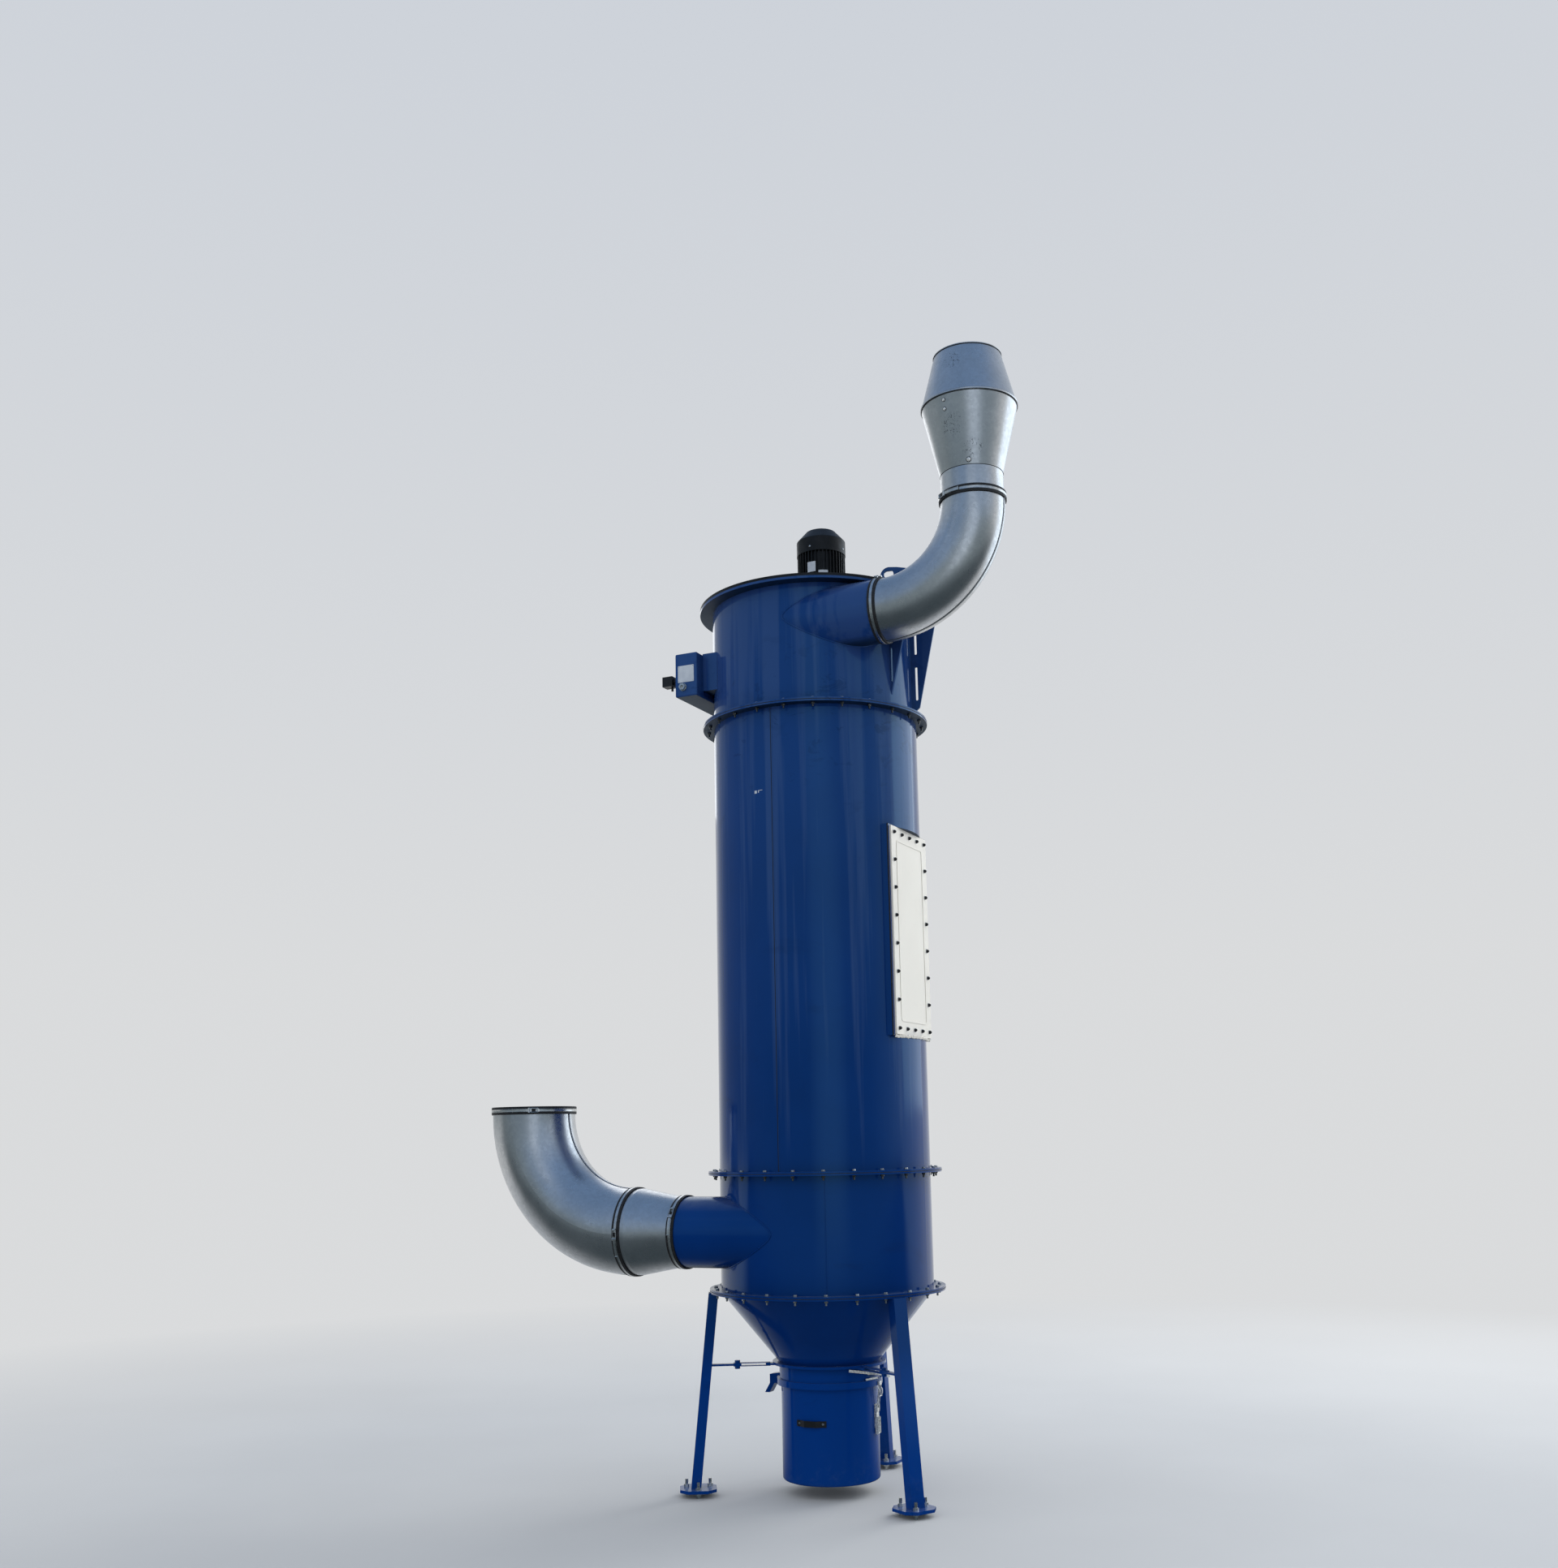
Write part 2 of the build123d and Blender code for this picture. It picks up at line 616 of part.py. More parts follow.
def tank_block():
    """The tank's outline, for the tank and for the hole it sits in."""
    back = TANK_X + TANK_DEPTH
    box = block(TANK_X, back, -TANK_L / 2, TANK_L / 2, TANK_Z, TANK_Z + TANK_H)
    return fillet(box.edges(), TANK_CORNER_R)


def valve_cover(side):
    """The box between the tank and the head on one side."""
    back = TANK_X + TANK_DEPTH
    half = COVER_L / 2
    ends = (0, half) if side > 0 else (-half, 0)
    box = block(back, 0, ends[0], ends[1], COVER_Z, COVER_Z + COVER_H)
    return box - rod(BODY_R, COVER_Z, COVER_Z + COVER_H)


def tank_fitting():
    """The shut-off fitting on the tank's outer side."""
    neck = tube_x(FITTING_NECK_D / 2, 0, TANK_X - FITTING_NECK_L, TANK_X, FITTING_Y, FITTING_Z)
    end = TANK_X - FITTING_NECK_L
    half = FITTING_BODY / 2
    body = block(end - FITTING_BODY_L, end, FITTING_Y - half, FITTING_Y + half,
                 FITTING_Z - half, FITTING_Z + half)
    tap = Pos(end - FITTING_TAP_D, FITTING_Y, FITTING_Z - half - FITTING_TAP_L)
    return neck + body + tap * extrude(Circle(FITTING_TAP_D / 2), FITTING_TAP_L)


def drain_plug():
    """The hexagon drain plug low on the tank's front."""
    hexagon = RegularPolygon(PLUG_AF / 2, 6, major_radius=False) - Circle(PLUG_BORE_D / 2)
    collar = extrude(Circle(PLUG_COLLAR_D / 2), PLUG_COLLAR_H)
    plug = collar + Pos(0, 0, PLUG_COLLAR_H) * extrude(hexagon, PLUG_H)
    return Pos(PLUG_X, -TANK_L / 2, PLUG_Z) * Rot(90, 0, 0) * plug


def motor_body():
    """The finned motor on its flange."""
    flange = extrude(Circle(MOTOR_FLANGE_D / 2), MOTOR_FLANGE_T)
    part = flange + extrude(Circle(MOTOR_CORE_D / 2), MOTOR_BODY_H)
    fin_h = MOTOR_BODY_H - MOTOR_FLANGE_T
    fin = Pos(MOTOR_FIN_R / 2, 0, MOTOR_FLANGE_T + fin_h / 2) * Box(MOTOR_FIN_R, FIN_T, fin_h)
    fins = [Rot(0, 0, 360 * i / FIN_COUNT) * fin for i in range(FIN_COUNT)]
    part = part + fins
    return Pos(MOTOR_X, MOTOR_Y, TOP_Z) * part


def cowl_form(inset, edge_r):
    """The cowl's rounded outline, drawn in by the inset on every side but below."""
    side = MOTOR_FIN_R + COWL_LAP - inset
    top = COWL_H - inset
    form = turned((0, 0), (side, 0), (side, COWL_SIDE_H), (COWL_TOP_D / 2, top), (0, top))
    rims = form.edges().filter_by(GeomType.CIRCLE).sort_by(Axis.Z)[1:]
    return fillet(rims, edge_r)


def motor_cowl():
    """The sheet fan cowl on top of the motor, with rows of arc slots for air."""
    cowl = cowl_form(0, COWL_EDGE_R) - cowl_form(COWL_SHEET, COWL_EDGE_R - COWL_SHEET)
    slots = []
    for row in range(GRILLE_ROWS):
        arc = CenterArc((0, 0), GRILLE_FIRST_R + GRILLE_PITCH * row, 0, GRILLE_ARC_SPAN)
        slot = Pos(0, 0, COWL_SIDE_H) * extrude(SlotArc(arc, GRILLE_SLOT_W), COWL_H)
        slots += [Rot(0, 0, 360 * i / GRILLE_ARCS) * slot for i in range(GRILLE_ARCS)]
    return Pos(MOTOR_X, MOTOR_Y, TOP_Z + MOTOR_BODY_H) * (cowl - slots)


def lifting_plate():
    """The tall plate that wraps the rim and carries the lifting eye."""
    r = BODY_R
    gap = RIM_R + RIM_CLEARANCE
    top = TOP_Z + LIFT_TOP_RISE
    near = LOBE_CENTRE_R - LOBE_R
    outline = make_face(Polyline(
        (r, HEAD_JOINT_Z + LIFT_FOOT_RISE), (r + LIFT_TOE_REACH, HEAD_JOINT_Z + LIFT_TOE_RISE),
        (r + LIFT_KNEE_REACH, HEAD_JOINT_Z + LIFT_KNEE_RISE),
        (r + LIFT_SHOULDER_REACH, TOP_Z + LIFT_SHOULDER_RISE),
        (LOBE_CENTRE_R + LOBE_R, top - LIFT_TOP_SLOPE), (near, top), (near, TOP_Z),
        (gap, TOP_Z), (gap, RIM_Z), (r, RIM_Z), close=True))
    outline = fillet(outline.vertices().sort_by(Axis.Y)[-1], LOBE_R)
    outline = fillet(outline.vertices().sort_by(Axis.X)[-1], PLATE_CORNER_R)
    eye = Pos(LOBE_CENTRE_R, top - LOBE_R) * SlotOverall(EYE_L, EYE_H)
    upper = SlotOverall(UPPER_SLOT_L, PLATE_SLOT_W, rotation=90)
    lower = SlotOverall(LOWER_SLOT_L, PLATE_SLOT_W, rotation=90)
    outline -= eye
    outline -= Pos(r + PLATE_SLOT_INSET, HEAD_JOINT_Z + UPPER_SLOT_RISE) * upper
    outline -= Pos(r + PLATE_SLOT_INSET, HEAD_JOINT_Z + LOWER_SLOT_RISE) * lower
    return Rot(0, 0, LIFTING_PLATE_ANGLE) * standing(outline, PLATE_T)


def side_plate():
    """The three-cornered plate beside the outlet, with a tab above the rim."""
    r = BODY_R
    out = r + SIDE_PLATE_REACH
    gap = RIM_R + RIM_CLEARANCE
    foot = HEAD_JOINT_Z + SIDE_PLATE_FOOT
    tab = TOP_Z + SIDE_TAB_H
    outline = make_face(Polyline((r, foot), (out, foot + SIDE_PLATE_SLOPE_H), (out, tab),
                                 (gap, tab), (gap, RIM_Z), (r, RIM_Z), close=True))
    slot = SlotOverall(SIDE_SLOT_L, SIDE_SLOT_W, rotation=90)
    outline -= Pos(r + SIDE_SLOT_INSET, HEAD_JOINT_Z + SIDE_SLOT_RISE) * slot
    return Rot(0, 0, SIDE_PLATE_ANGLE) * standing(outline, PLATE_T)


# The legs and what stands and hangs on them
leg_solid = leg()
leg_outline = radial_plate(leg_profile(LEG_DEPTH), LEG_WIDTH)
studs = []
for name, angle in LEG_ANGLES.items():
    turn = Rot(0, 0, angle)
    save(f"leg_{name}", turn * leg_solid)
    save(f"foot_plate_{name}", turn * foot_plate())
    save(f"brace_{name}", turn * brace(leg_outline))
    studs += [turn * place * anchor_stud() for place in stud_places()]
save("anchor_studs", Compound(children=studs))

save("hopper_cone", hopper())
save("bin_collar", ring(COLLAR_R, COLLAR_R - COLLAR_SHEET, RING_TOP_Z, HOPPER_OUTLET_Z))
save("bin_ring", bin_ring())
save("dust_bin", dust_bin())
front_handle = bin_handle()
save("bin_handles", Compound(children=[front_handle, Rot(0, 0, 180) * front_handle]))
save("bin_latch", bin_latch())
save("bin_hook", bin_hook())
save("closing_lever", closing_lever())

# The inlet section and its duct
inlet_bore = tube_x(INLET_SPIGOT_R - DUCT_SHEET, 0, -INLET_SPIGOT_END, 0, INLET_Y, INLET_Z)
save("inlet_section", section(HOPPER_JOINT_Z, INLET_JOINT_Z) - inlet_bore)
inlet_tube = tube_x(INLET_SPIGOT_R, INLET_SPIGOT_R - DUCT_SHEET, -INLET_SPIGOT_END, 0,
                    INLET_Y, INLET_Z)
save("inlet_spigot", inlet_tube - rod(BODY_R, HOPPER_JOINT_Z, INLET_JOINT_Z))
save("inlet_reducer", reducer())
elbow_x = -INLET_SPIGOT_END - REDUCER_L
elbow_run = INLET_ELBOW_R + DUCT_COLLAR
facing_left = Pos(elbow_x, INLET_Y, INLET_Z) * Rot(0, 0, 180)
save("inlet_elbow", facing_left * elbow(INLET_DUCT_R, INLET_ELBOW_R))
on_x = Rot(0, 90, 0)
save("clamp_inlet_spigot", Pos(-INLET_SPIGOT_END, INLET_Y, INLET_Z) * on_x * clamp(INLET_SPIGOT_R))
save("clamp_inlet_elbow", Pos(elbow_x, INLET_Y, INLET_Z) * on_x * clamp(INLET_DUCT_R))
mouth = Pos(elbow_x - elbow_run, INLET_Y, INLET_Z + elbow_run)
save("clamp_inlet_mouth", mouth * clamp(INLET_DUCT_R))

# The filter body with its vent
save("filter_body", section(INLET_JOINT_Z, HEAD_JOINT_Z) - vent_cutter())
save("vent_frame", vent_frame())
save("vent_panel", vent_panel())

# The head, its outlet and the stack
head = ring(BODY_R, BODY_IN_R, HEAD_JOINT_Z, RIM_TOP_Z)
head += ring(FLANGE_R, BODY_IN_R, HEAD_JOINT_Z, HEAD_JOINT_Z + JOINT_FLANGE_T)
head += ring(RIM_R, BODY_IN_R, RIM_Z, RIM_TOP_Z)
head -= tube_x(OUTLET_R - DUCT_SHEET, 0, 0, OUTLET_SPIGOT_END, OUTLET_Y, OUTLET_Z)
save("head_section", head - tank_block())
outlet_tube = tube_x(OUTLET_R, OUTLET_R - DUCT_SHEET, 0, OUTLET_SPIGOT_END, OUTLET_Y, OUTLET_Z)
save("outlet_spigot", outlet_tube - rod(BODY_R, HEAD_JOINT_Z, RIM_TOP_Z))
outlet_place = Pos(OUTLET_SPIGOT_END, OUTLET_Y, OUTLET_Z)
save("outlet_elbow", outlet_place * elbow(OUTLET_R, OUTLET_ELBOW_R))
save("clamp_outlet_spigot", outlet_place * on_x * clamp(OUTLET_R))
outlet_run = OUTLET_ELBOW_R + DUCT_COLLAR
stack_place = Pos(OUTLET_SPIGOT_END + outlet_run, OUTLET_Y, OUTLET_Z + outlet_run)
save("clamp_stack", stack_place * clamp(OUTLET_R))
save("stack_diffuser", stack_place * diffuser())
save("stack_nozzle", stack_place * nozzle())

# The top plate and what stands on the head
save("top_plate", Pos(0, 0, RIM_TOP_Z) * extrude(Circle(RIM_R), TOP_PLATE_T))
save("motor_body", motor_body())
save("motor_cowl", motor_cowl())
save("lifting_plate", lifting_plate())
save("side_plate", side_plate())
save("air_tank", tank_block())
save("valve_covers", Compound(children=[valve_cover(-1), valve_cover(1)]))
save("tank_fitting", tank_fitting())
save("drain_plug", drain_plug())
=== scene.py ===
import json
from math import cos, pi, radians, sin, sqrt

import bmesh
import bpy
from mathutils import Matrix, Vector


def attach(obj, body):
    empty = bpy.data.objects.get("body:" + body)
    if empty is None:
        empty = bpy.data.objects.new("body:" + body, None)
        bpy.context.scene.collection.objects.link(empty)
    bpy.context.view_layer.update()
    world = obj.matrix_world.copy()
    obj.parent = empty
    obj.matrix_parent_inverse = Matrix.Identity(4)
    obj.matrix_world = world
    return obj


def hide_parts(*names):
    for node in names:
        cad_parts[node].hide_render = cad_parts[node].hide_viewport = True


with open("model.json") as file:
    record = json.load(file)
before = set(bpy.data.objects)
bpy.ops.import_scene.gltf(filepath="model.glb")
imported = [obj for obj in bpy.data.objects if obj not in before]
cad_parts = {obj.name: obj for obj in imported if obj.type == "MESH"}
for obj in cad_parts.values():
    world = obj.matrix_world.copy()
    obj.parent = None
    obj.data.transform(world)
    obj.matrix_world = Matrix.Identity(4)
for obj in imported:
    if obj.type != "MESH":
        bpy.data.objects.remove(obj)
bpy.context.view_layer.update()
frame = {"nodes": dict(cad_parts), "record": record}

# The camera at the photograph's viewing angle
PHOTO_W, PHOTO_H = 1920, 1932
CAMERA_AT = Vector((2.6995, -6.2451, 1.4253))
CAMERA_AZIMUTH = radians(24.73)
CAMERA_PITCH = radians(8.70)
CAMERA_ROLL = radians(-1.092)
FOCAL_PX = 1972.05
CENTRE_PX = (962.88, 1100.0)


def add_camera():
    forward = Vector((-sin(CAMERA_AZIMUTH) * cos(CAMERA_PITCH),
                      cos(CAMERA_AZIMUTH) * cos(CAMERA_PITCH), sin(CAMERA_PITCH)))
    right = Vector((cos(CAMERA_AZIMUTH), sin(CAMERA_AZIMUTH), 0))
    up = right.cross(forward)
    turned_right = right * cos(CAMERA_ROLL) + up * sin(CAMERA_ROLL)
    turned_up = up * cos(CAMERA_ROLL) - right * sin(CAMERA_ROLL)
    data = bpy.data.cameras.new("camera")
    data.sensor_fit = "AUTO"
    data.sensor_width = 36
    data.lens = FOCAL_PX / PHOTO_H * data.sensor_width
    data.shift_x = (PHOTO_W / 2 - CENTRE_PX[0]) / PHOTO_H
    data.shift_y = (CENTRE_PX[1] - PHOTO_H / 2) / PHOTO_H
    camera = bpy.data.objects.new("camera", data)
    bpy.context.scene.collection.objects.link(camera)
    axes = Matrix((turned_right, turned_up, -forward)).transposed()
    camera.matrix_world = Matrix.Translation(CAMERA_AT) @ axes.to_4x4()
    bpy.context.scene.camera = camera


# Materials, all made of nodes
class Tree:
    """A short way to write a material's nodes."""

    def __init__(self, name, world=None):
        self.material = world or bpy.data.materials.new(name)
        self.material.use_nodes = True
        self.nodes = self.material.node_tree.nodes
        self.links = self.material.node_tree.links
        self.shader = self.nodes.get("Principled BSDF")
        self.place = self.add("ShaderNodeTexCoord").outputs["Object"]

    def add(self, kind, **settings):
        node = self.nodes.new(kind)
        for key, value in settings.items():
            setattr(node, key, value)
        return node

    def feed(self, socket, value):
        if isinstance(value, bpy.types.NodeSocket):
            self.links.new(value, socket)
        else:
            socket.default_value = value

    def stretch(self, scale, source=None):
        node = self.add("ShaderNodeMapping")
        self.feed(node.inputs["Vector"], source or self.place)
        node.inputs["Scale"].default_value = scale
        return node.outputs["Vector"]

    def noise(self, scale, detail=2, rough=0.5, at=None, distort=0):
        node = self.add("ShaderNodeTexNoise")
        self.feed(node.inputs["Vector"], at or self.place)
        node.inputs["Scale"].default_value = scale
        node.inputs["Detail"].default_value = detail
        node.inputs["Roughness"].default_value = rough
        node.inputs["Distortion"].default_value = distort
        return node.outputs["Fac"]

    def cells(self, scale, at=None):
        node = self.add("ShaderNodeTexVoronoi")
        self.feed(node.inputs["Vector"], at or self.place)
        node.inputs["Scale"].default_value = scale
        return node.outputs["Color"]

    def ramp(self, value, low, high, to_low=0.0, to_high=1.0):
        node = self.add("ShaderNodeMapRange")
        self.feed(node.inputs["Value"], value)
        for key, number in (("From Min", low), ("From Max", high),
                            ("To Min", to_low), ("To Max", to_high)):
            node.inputs[key].default_value = number
        return node.outputs["Result"]

    def math(self, operation, a, b=0.0):
        node = self.add("ShaderNodeMath", operation=operation)
        self.feed(node.inputs[0], a)
        self.feed(node.inputs[1], b)
        return node.outputs["Value"]

    def mix(self, factor, a, b):
        node = self.add("ShaderNodeMix", data_type="RGBA")
        self.feed(node.inputs["Factor"], factor)
        self.feed(node.inputs[6], a)
        self.feed(node.inputs[7], b)
        return node.outputs[2]

    def near(self, point, reach):
        """1 at a point in metres, falling to 0 at the reach."""
        node = self.add("ShaderNodeVectorMath", operation="DISTANCE")
        self.feed(node.inputs[0], self.place)
        node.inputs[1].default_value = point
        return self.ramp(node.outputs["Value"], reach, reach * 0.5)

    def toward(self, direction, source=None):
        """How far the place lies in a direction."""
        node = self.add("ShaderNodeVectorMath", operation="DOT_PRODUCT")
        self.feed(node.inputs[0], source or self.place)
        node.inputs[1].default_value = direction
        return node.outputs["Value"]

    def only(self, ray):
        return self.add("ShaderNodeLightPath").outputs[ray]

    def seen_directly(self):
        """1 where the camera, a reflection or clear glass sees it, and 0 for its light."""
        path = self.add("ShaderNodeLightPath")
        either = self.math("MAXIMUM", path.outputs["Is Camera Ray"], path.outputs["Is Glossy Ray"])
        return self.math("MAXIMUM", either, path.outputs["Is Transmission Ray"])

    def facing_up(self):
        geometry = self.add("ShaderNodeNewGeometry")
        split = self.add("ShaderNodeSeparateXYZ")
        self.links.new(geometry.outputs["Normal"], split.inputs[0])
        return split.outputs["Z"]

    def height(self):
        split = self.add("ShaderNodeSeparateXYZ")
        self.links.new(self.place, split.inputs[0])
        return split.outputs["Z"]

    def bump(self, *layers):
        """Bump from (height, strength, distance) layers, one over another."""
        normal = None
        for value, strength, distance in layers:
            node = self.add("ShaderNodeBump")
            self.feed(node.inputs["Height"], value)
            node.inputs["Strength"].default_value = strength
            node.inputs["Distance"].default_value = distance
            if normal:
                self.links.new(normal, node.inputs["Normal"])
            normal = node.outputs["Normal"]
        self.links.new(normal, self.shader.inputs["Normal"])

    def set(self, **values):
        names = {"color": "Base Color", "roughness": "Roughness", "metallic": "Metallic",
                 "specular": "Specular IOR Level", "tint": "Specular Tint"}
        for key, value in values.items():
            self.feed(self.shader.inputs[names[key]], value)
        return self.material


def rgb(r, g, b):
    return (r, g, b, 1.0)


# The black scuffs on the stack: x, y, z and reach in metres
SCUFFS = ((0.829, -0.470, 4.222, 0.060), (0.905, -0.446, 4.123, 0.051),
          (0.835, -0.458, 4.500, 0.051))

# The backdrop that the camera sees, and the light that falls from it
HORIZON = rgb(0.70, 0.71, 0.72)
OVERHEAD = rgb(0.34, 0.45, 0.64)
AMBIENT = rgb(0.86, 0.92, 1.0)

# What paint and metal alone mirror: sky above dark things, with a clearing behind the camera
LOW_SKY = rgb(0.27, 0.36, 0.49)
HIGH_SKY = rgb(0.15, 0.25, 0.43)
CLOUD = rgb(0.72, 0.79, 0.88)
DISTANCE = rgb(0.215, 0.26, 0.28)
GROUND = rgb(0.060, 0.078, 0.090)
CLEAR_SKY = rgb(0.66, 0.76, 0.90)
CLEAR_GROUND = rgb(0.60, 0.68, 0.76)
FRONT = (0.40, -0.92, 0)
LEFT = (-0.90, -0.44, 0)
CLEARING = (0.50, -0.866, 0)
CLEARING_EDGE = (0.935, 0.996)

# Each lamp's name, place, aim, size, watts, tint, and whether paint and metal mirror it
LAMPS = (("key", (3.6, 7.7, 6.0), (0, 0, 2.2), (5.0, 6.0), 440, (1.0, 0.97, 0.92), False),
         ("rim", (5.4, 6.6, 5.0), (0, 0, 2.2), (7.5, 7.0), 190, (0.72, 0.86, 1.0), True),
         ("fill", (-7.5, -8.0, 5.5), (0, 0, 2.0), (7.0, 7.0), 90, (0.90, 0.95, 1.0), False),
         ("back", (-5.0, 7.0, 6.5), (0, 0, 2.4), (5.0, 4.0), 60, (0.95, 0.97, 1.0), True))


def blue_paint():
    """Glossy blue enamel with dark blots near the upper joint, chalking and dust, and painted
    light: long pale streaks and a paler top as reflections, a lighter foot as bounce light, and
    shade on faces turned down.
    """
    t = Tree("blue_paint")
    tone = t.ramp(t.noise(1.7, 4, 0.55), 0.3, 0.7)
    color = t.mix(tone, rgb(0.0006, 0.020, 0.118), rgb(0.0012, 0.026, 0.150))
    # Lighter blue below 0.62 m, strongest near the floor: painted bounce light
    color = t.mix(t.ramp(t.height(), 0.62, 0.46, 0, 0.6), color, rgb(0.0012, 0.040, 0.235))
    # Pale vertical streaks fading in above 1.15 m: painted wavering reflections
    above = t.math("MULTIPLY", t.math("SUBTRACT", t.height(), 2.2), 0.11)
    drips = t.noise(1.0, 4, 0.55, t.stretch((15, 15, 0.45)))
    painted_reflection_streaks = t.ramp(t.math("ADD", drips, above), 0.515, 0.63, 0, 0.20)
    color = t.mix(t.math("MULTIPLY", painted_reflection_streaks, t.ramp(t.height(), 1.15, 1.5)), color,
                  rgb(0.085, 0.135, 0.250))
    # Paler towards the top from 1.7 m to 2.9 m: painted sky reflection
    color = t.mix(t.ramp(t.height(), 1.7, 2.9, 0, 0.14), color, rgb(0.038, 0.090, 0.230))
    around_joint = t.ramp(t.math("ABSOLUTE", t.math("SUBTRACT", t.height(), 3.15)), 0.42, 0.05)
    blots = t.ramp(t.noise(7.5, 5, 0.66, t.stretch((1, 1, 1.5)), 0.9), 0.575, 0.61, 0, 0.4)
    smears = t.ramp(t.noise(3.1, 5, 0.62, t.stretch((1, 1, 1.9)), 0.6), 0.60, 0.72, 0, 0.25)
    wet = t.math("MAXIMUM", t.math("MULTIPLY", blots, around_joint), smears)
    color = t.mix(wet, color, rgb(0.0008, 0.010, 0.064))
    chalk = t.ramp(t.noise(9, 6, 0.7, t.stretch((1, 1, 2.6)), 1.2), 0.745, 0.77, 0, 0.35)
    color = t.mix(chalk, color, rgb(0.16, 0.22, 0.36))
    up = t.ramp(t.facing_up(), 0.6, 0.97)
    patch = t.ramp(t.noise(9, 5, 0.65), 0.35, 0.7, 0.10, 0.40)
    low = t.ramp(t.height(), 0.20, 0.02)
    splash = t.math("MULTIPLY", low, t.ramp(t.noise(38, 5, 0.7), 0.50, 0.75, 0, 0.12))
    dust = t.math("MAXIMUM", t.math("MULTIPLY", up, patch), splash)
    color = t.mix(dust, color, rgb(0.14, 0.17, 0.23))
    # Faces turned down go almost black: painted shade, and they are also made rougher
    painted_under_shade = t.ramp(t.facing_up(), -0.86, -0.99, 0, 0.85)
    color = t.mix(painted_under_shade, color, rgb(0.0006, 0.006, 0.026))
    rough = t.ramp(t.noise(4.3, 4, 0.6), 0.3, 0.7, 0.07, 0.13)
    rough = t.math("ADD", rough, t.math("MULTIPLY", t.math("ADD", wet, chalk), 0.12))
    rough = t.math("ADD", rough, t.math("MULTIPLY", t.math("MAXIMUM", dust, painted_under_shade), 0.5))
    t.bump((t.noise(2.6, 2, 0.5, t.stretch((1, 1, 0.45))), 0.30, 0.010),
           (t.noise(260, 2), 0.05, 0.0008))
    return t.set(color=color, roughness=rough, specular=0.38, tint=rgb(0.35, 0.85, 1.0))


def galvanised():
    """Zinc-coated sheet with fine spangle, long scratches, dents and a few black scuffs."""
    t = Tree("galvanised")
    split = t.add("ShaderNodeSeparateColor")
    t.links.new(t.cells(95), split.inputs[0])
    grain = t.ramp(split.outputs["Red"], 0, 1)
    cloud = t.ramp(t.noise(5, 5, 0.6), 0.3, 0.7)
    color = t.mix(cloud, rgb(0.54, 0.56, 0.57), rgb(0.69, 0.70, 0.71))
    color = t.mix(t.math("MULTIPLY", grain, 0.35), color, rgb(0.44, 0.455, 0.47))
    scuff = t.ramp(t.noise(13, 6, 0.72, t.stretch((1, 1.6, 0.8)), 1.5), 0.70, 0.75, 0, 0.55)
    for x, y, z, reach in SCUFFS:
        marks = t.ramp(t.noise(70, 5, 0.72, t.stretch((1, 1, 0.6)), 2.4), 0.57, 0.61)
        scuff = t.math("MAXIMUM", scuff, t.math("MULTIPLY", marks, t.near((x, y, z), reach)))
    color = t.mix(scuff, color, rgb(0.05, 0.055, 0.06))
    scratch = t.ramp(t.noise(6, 3, 0.7, t.stretch((16, 16, 1.2)), 2.0), 0.69, 0.73, 0, 0.35)
    color = t.mix(scratch, color, rgb(0.20, 0.215, 0.23))
    rough = t.ramp(t.noise(6, 4, 0.6), 0.3, 0.7, 0.24, 0.33)
    rough = t.math("ADD", rough, t.math("MULTIPLY", grain, 0.06))
    rough = t.math("ADD", rough, t.math("MULTIPLY", scuff, 0.3))
    t.bump((t.noise(3.4, 2), 0.30, 0.010), (grain, 0.05, 0.0006),
           (t.noise(420, 2), 0.06, 0.0004))
    return t.set(color=color, roughness=rough, metallic=1.0)


def dull_zinc(name="dull_zinc", tone=1.0):
    """Weathered bolts, nuts and studs."""
    t = Tree(name)
    haze = t.ramp(t.noise(60, 5, 0.65), 0.35, 0.7)
    color = t.mix(haze, rgb(0.46 * tone, 0.47 * tone, 0.47 * tone),
                  rgb(0.28 * tone, 0.29 * tone, 0.29 * tone))
    rough = t.ramp(t.noise(90, 4, 0.6), 0.3, 0.7, 0.28, 0.42)
    t.bump((t.noise(300, 3), 0.08, 0.0004))
    return t.set(color=color, roughness=rough, metallic=1.0)


def bright_zinc(name="bright_zinc", shine=1.0, tone=1.0):
    """The clamps' and fasteners' bright plating, slightly hazed."""
    t = Tree(name)
    haze = t.ramp(t.noise(60, 5, 0.65), 0.35, 0.7)
    color = t.mix(haze, rgb(0.70 * tone, 0.71 * tone, 0.70 * tone),
                  rgb(0.50 * tone, 0.51 * tone, 0.50 * tone))
    spots = t.ramp(t.noise(150, 4, 0.7), 0.66, 0.74, 0, 0.4)
    color = t.mix(spots, color, rgb(0.22, 0.21, 0.19))
    rough = t.ramp(t.noise(90, 4, 0.6), 0.3, 0.7, 0.18, 0.36)
    t.bump((t.noise(300, 3), 0.08, 0.0004))
    return t.set(color=color, roughness=rough, metallic=shine)


def black_rubber():
    """Gaskets and seals."""
    t = Tree("black_rubber")
    dusty = t.ramp(t.noise(45, 5, 0.7), 0.5, 0.8, 0, 0.35)
    color = t.mix(dusty, rgb(0.010, 0.010, 0.011), rgb(0.07, 0.07, 0.068))
    rough = t.ramp(t.noise(80, 3), 0.3, 0.7, 0.5, 0.7)
    t.bump((t.noise(500, 2), 0.15, 0.0004))
    return t.set(color=color, roughness=rough)


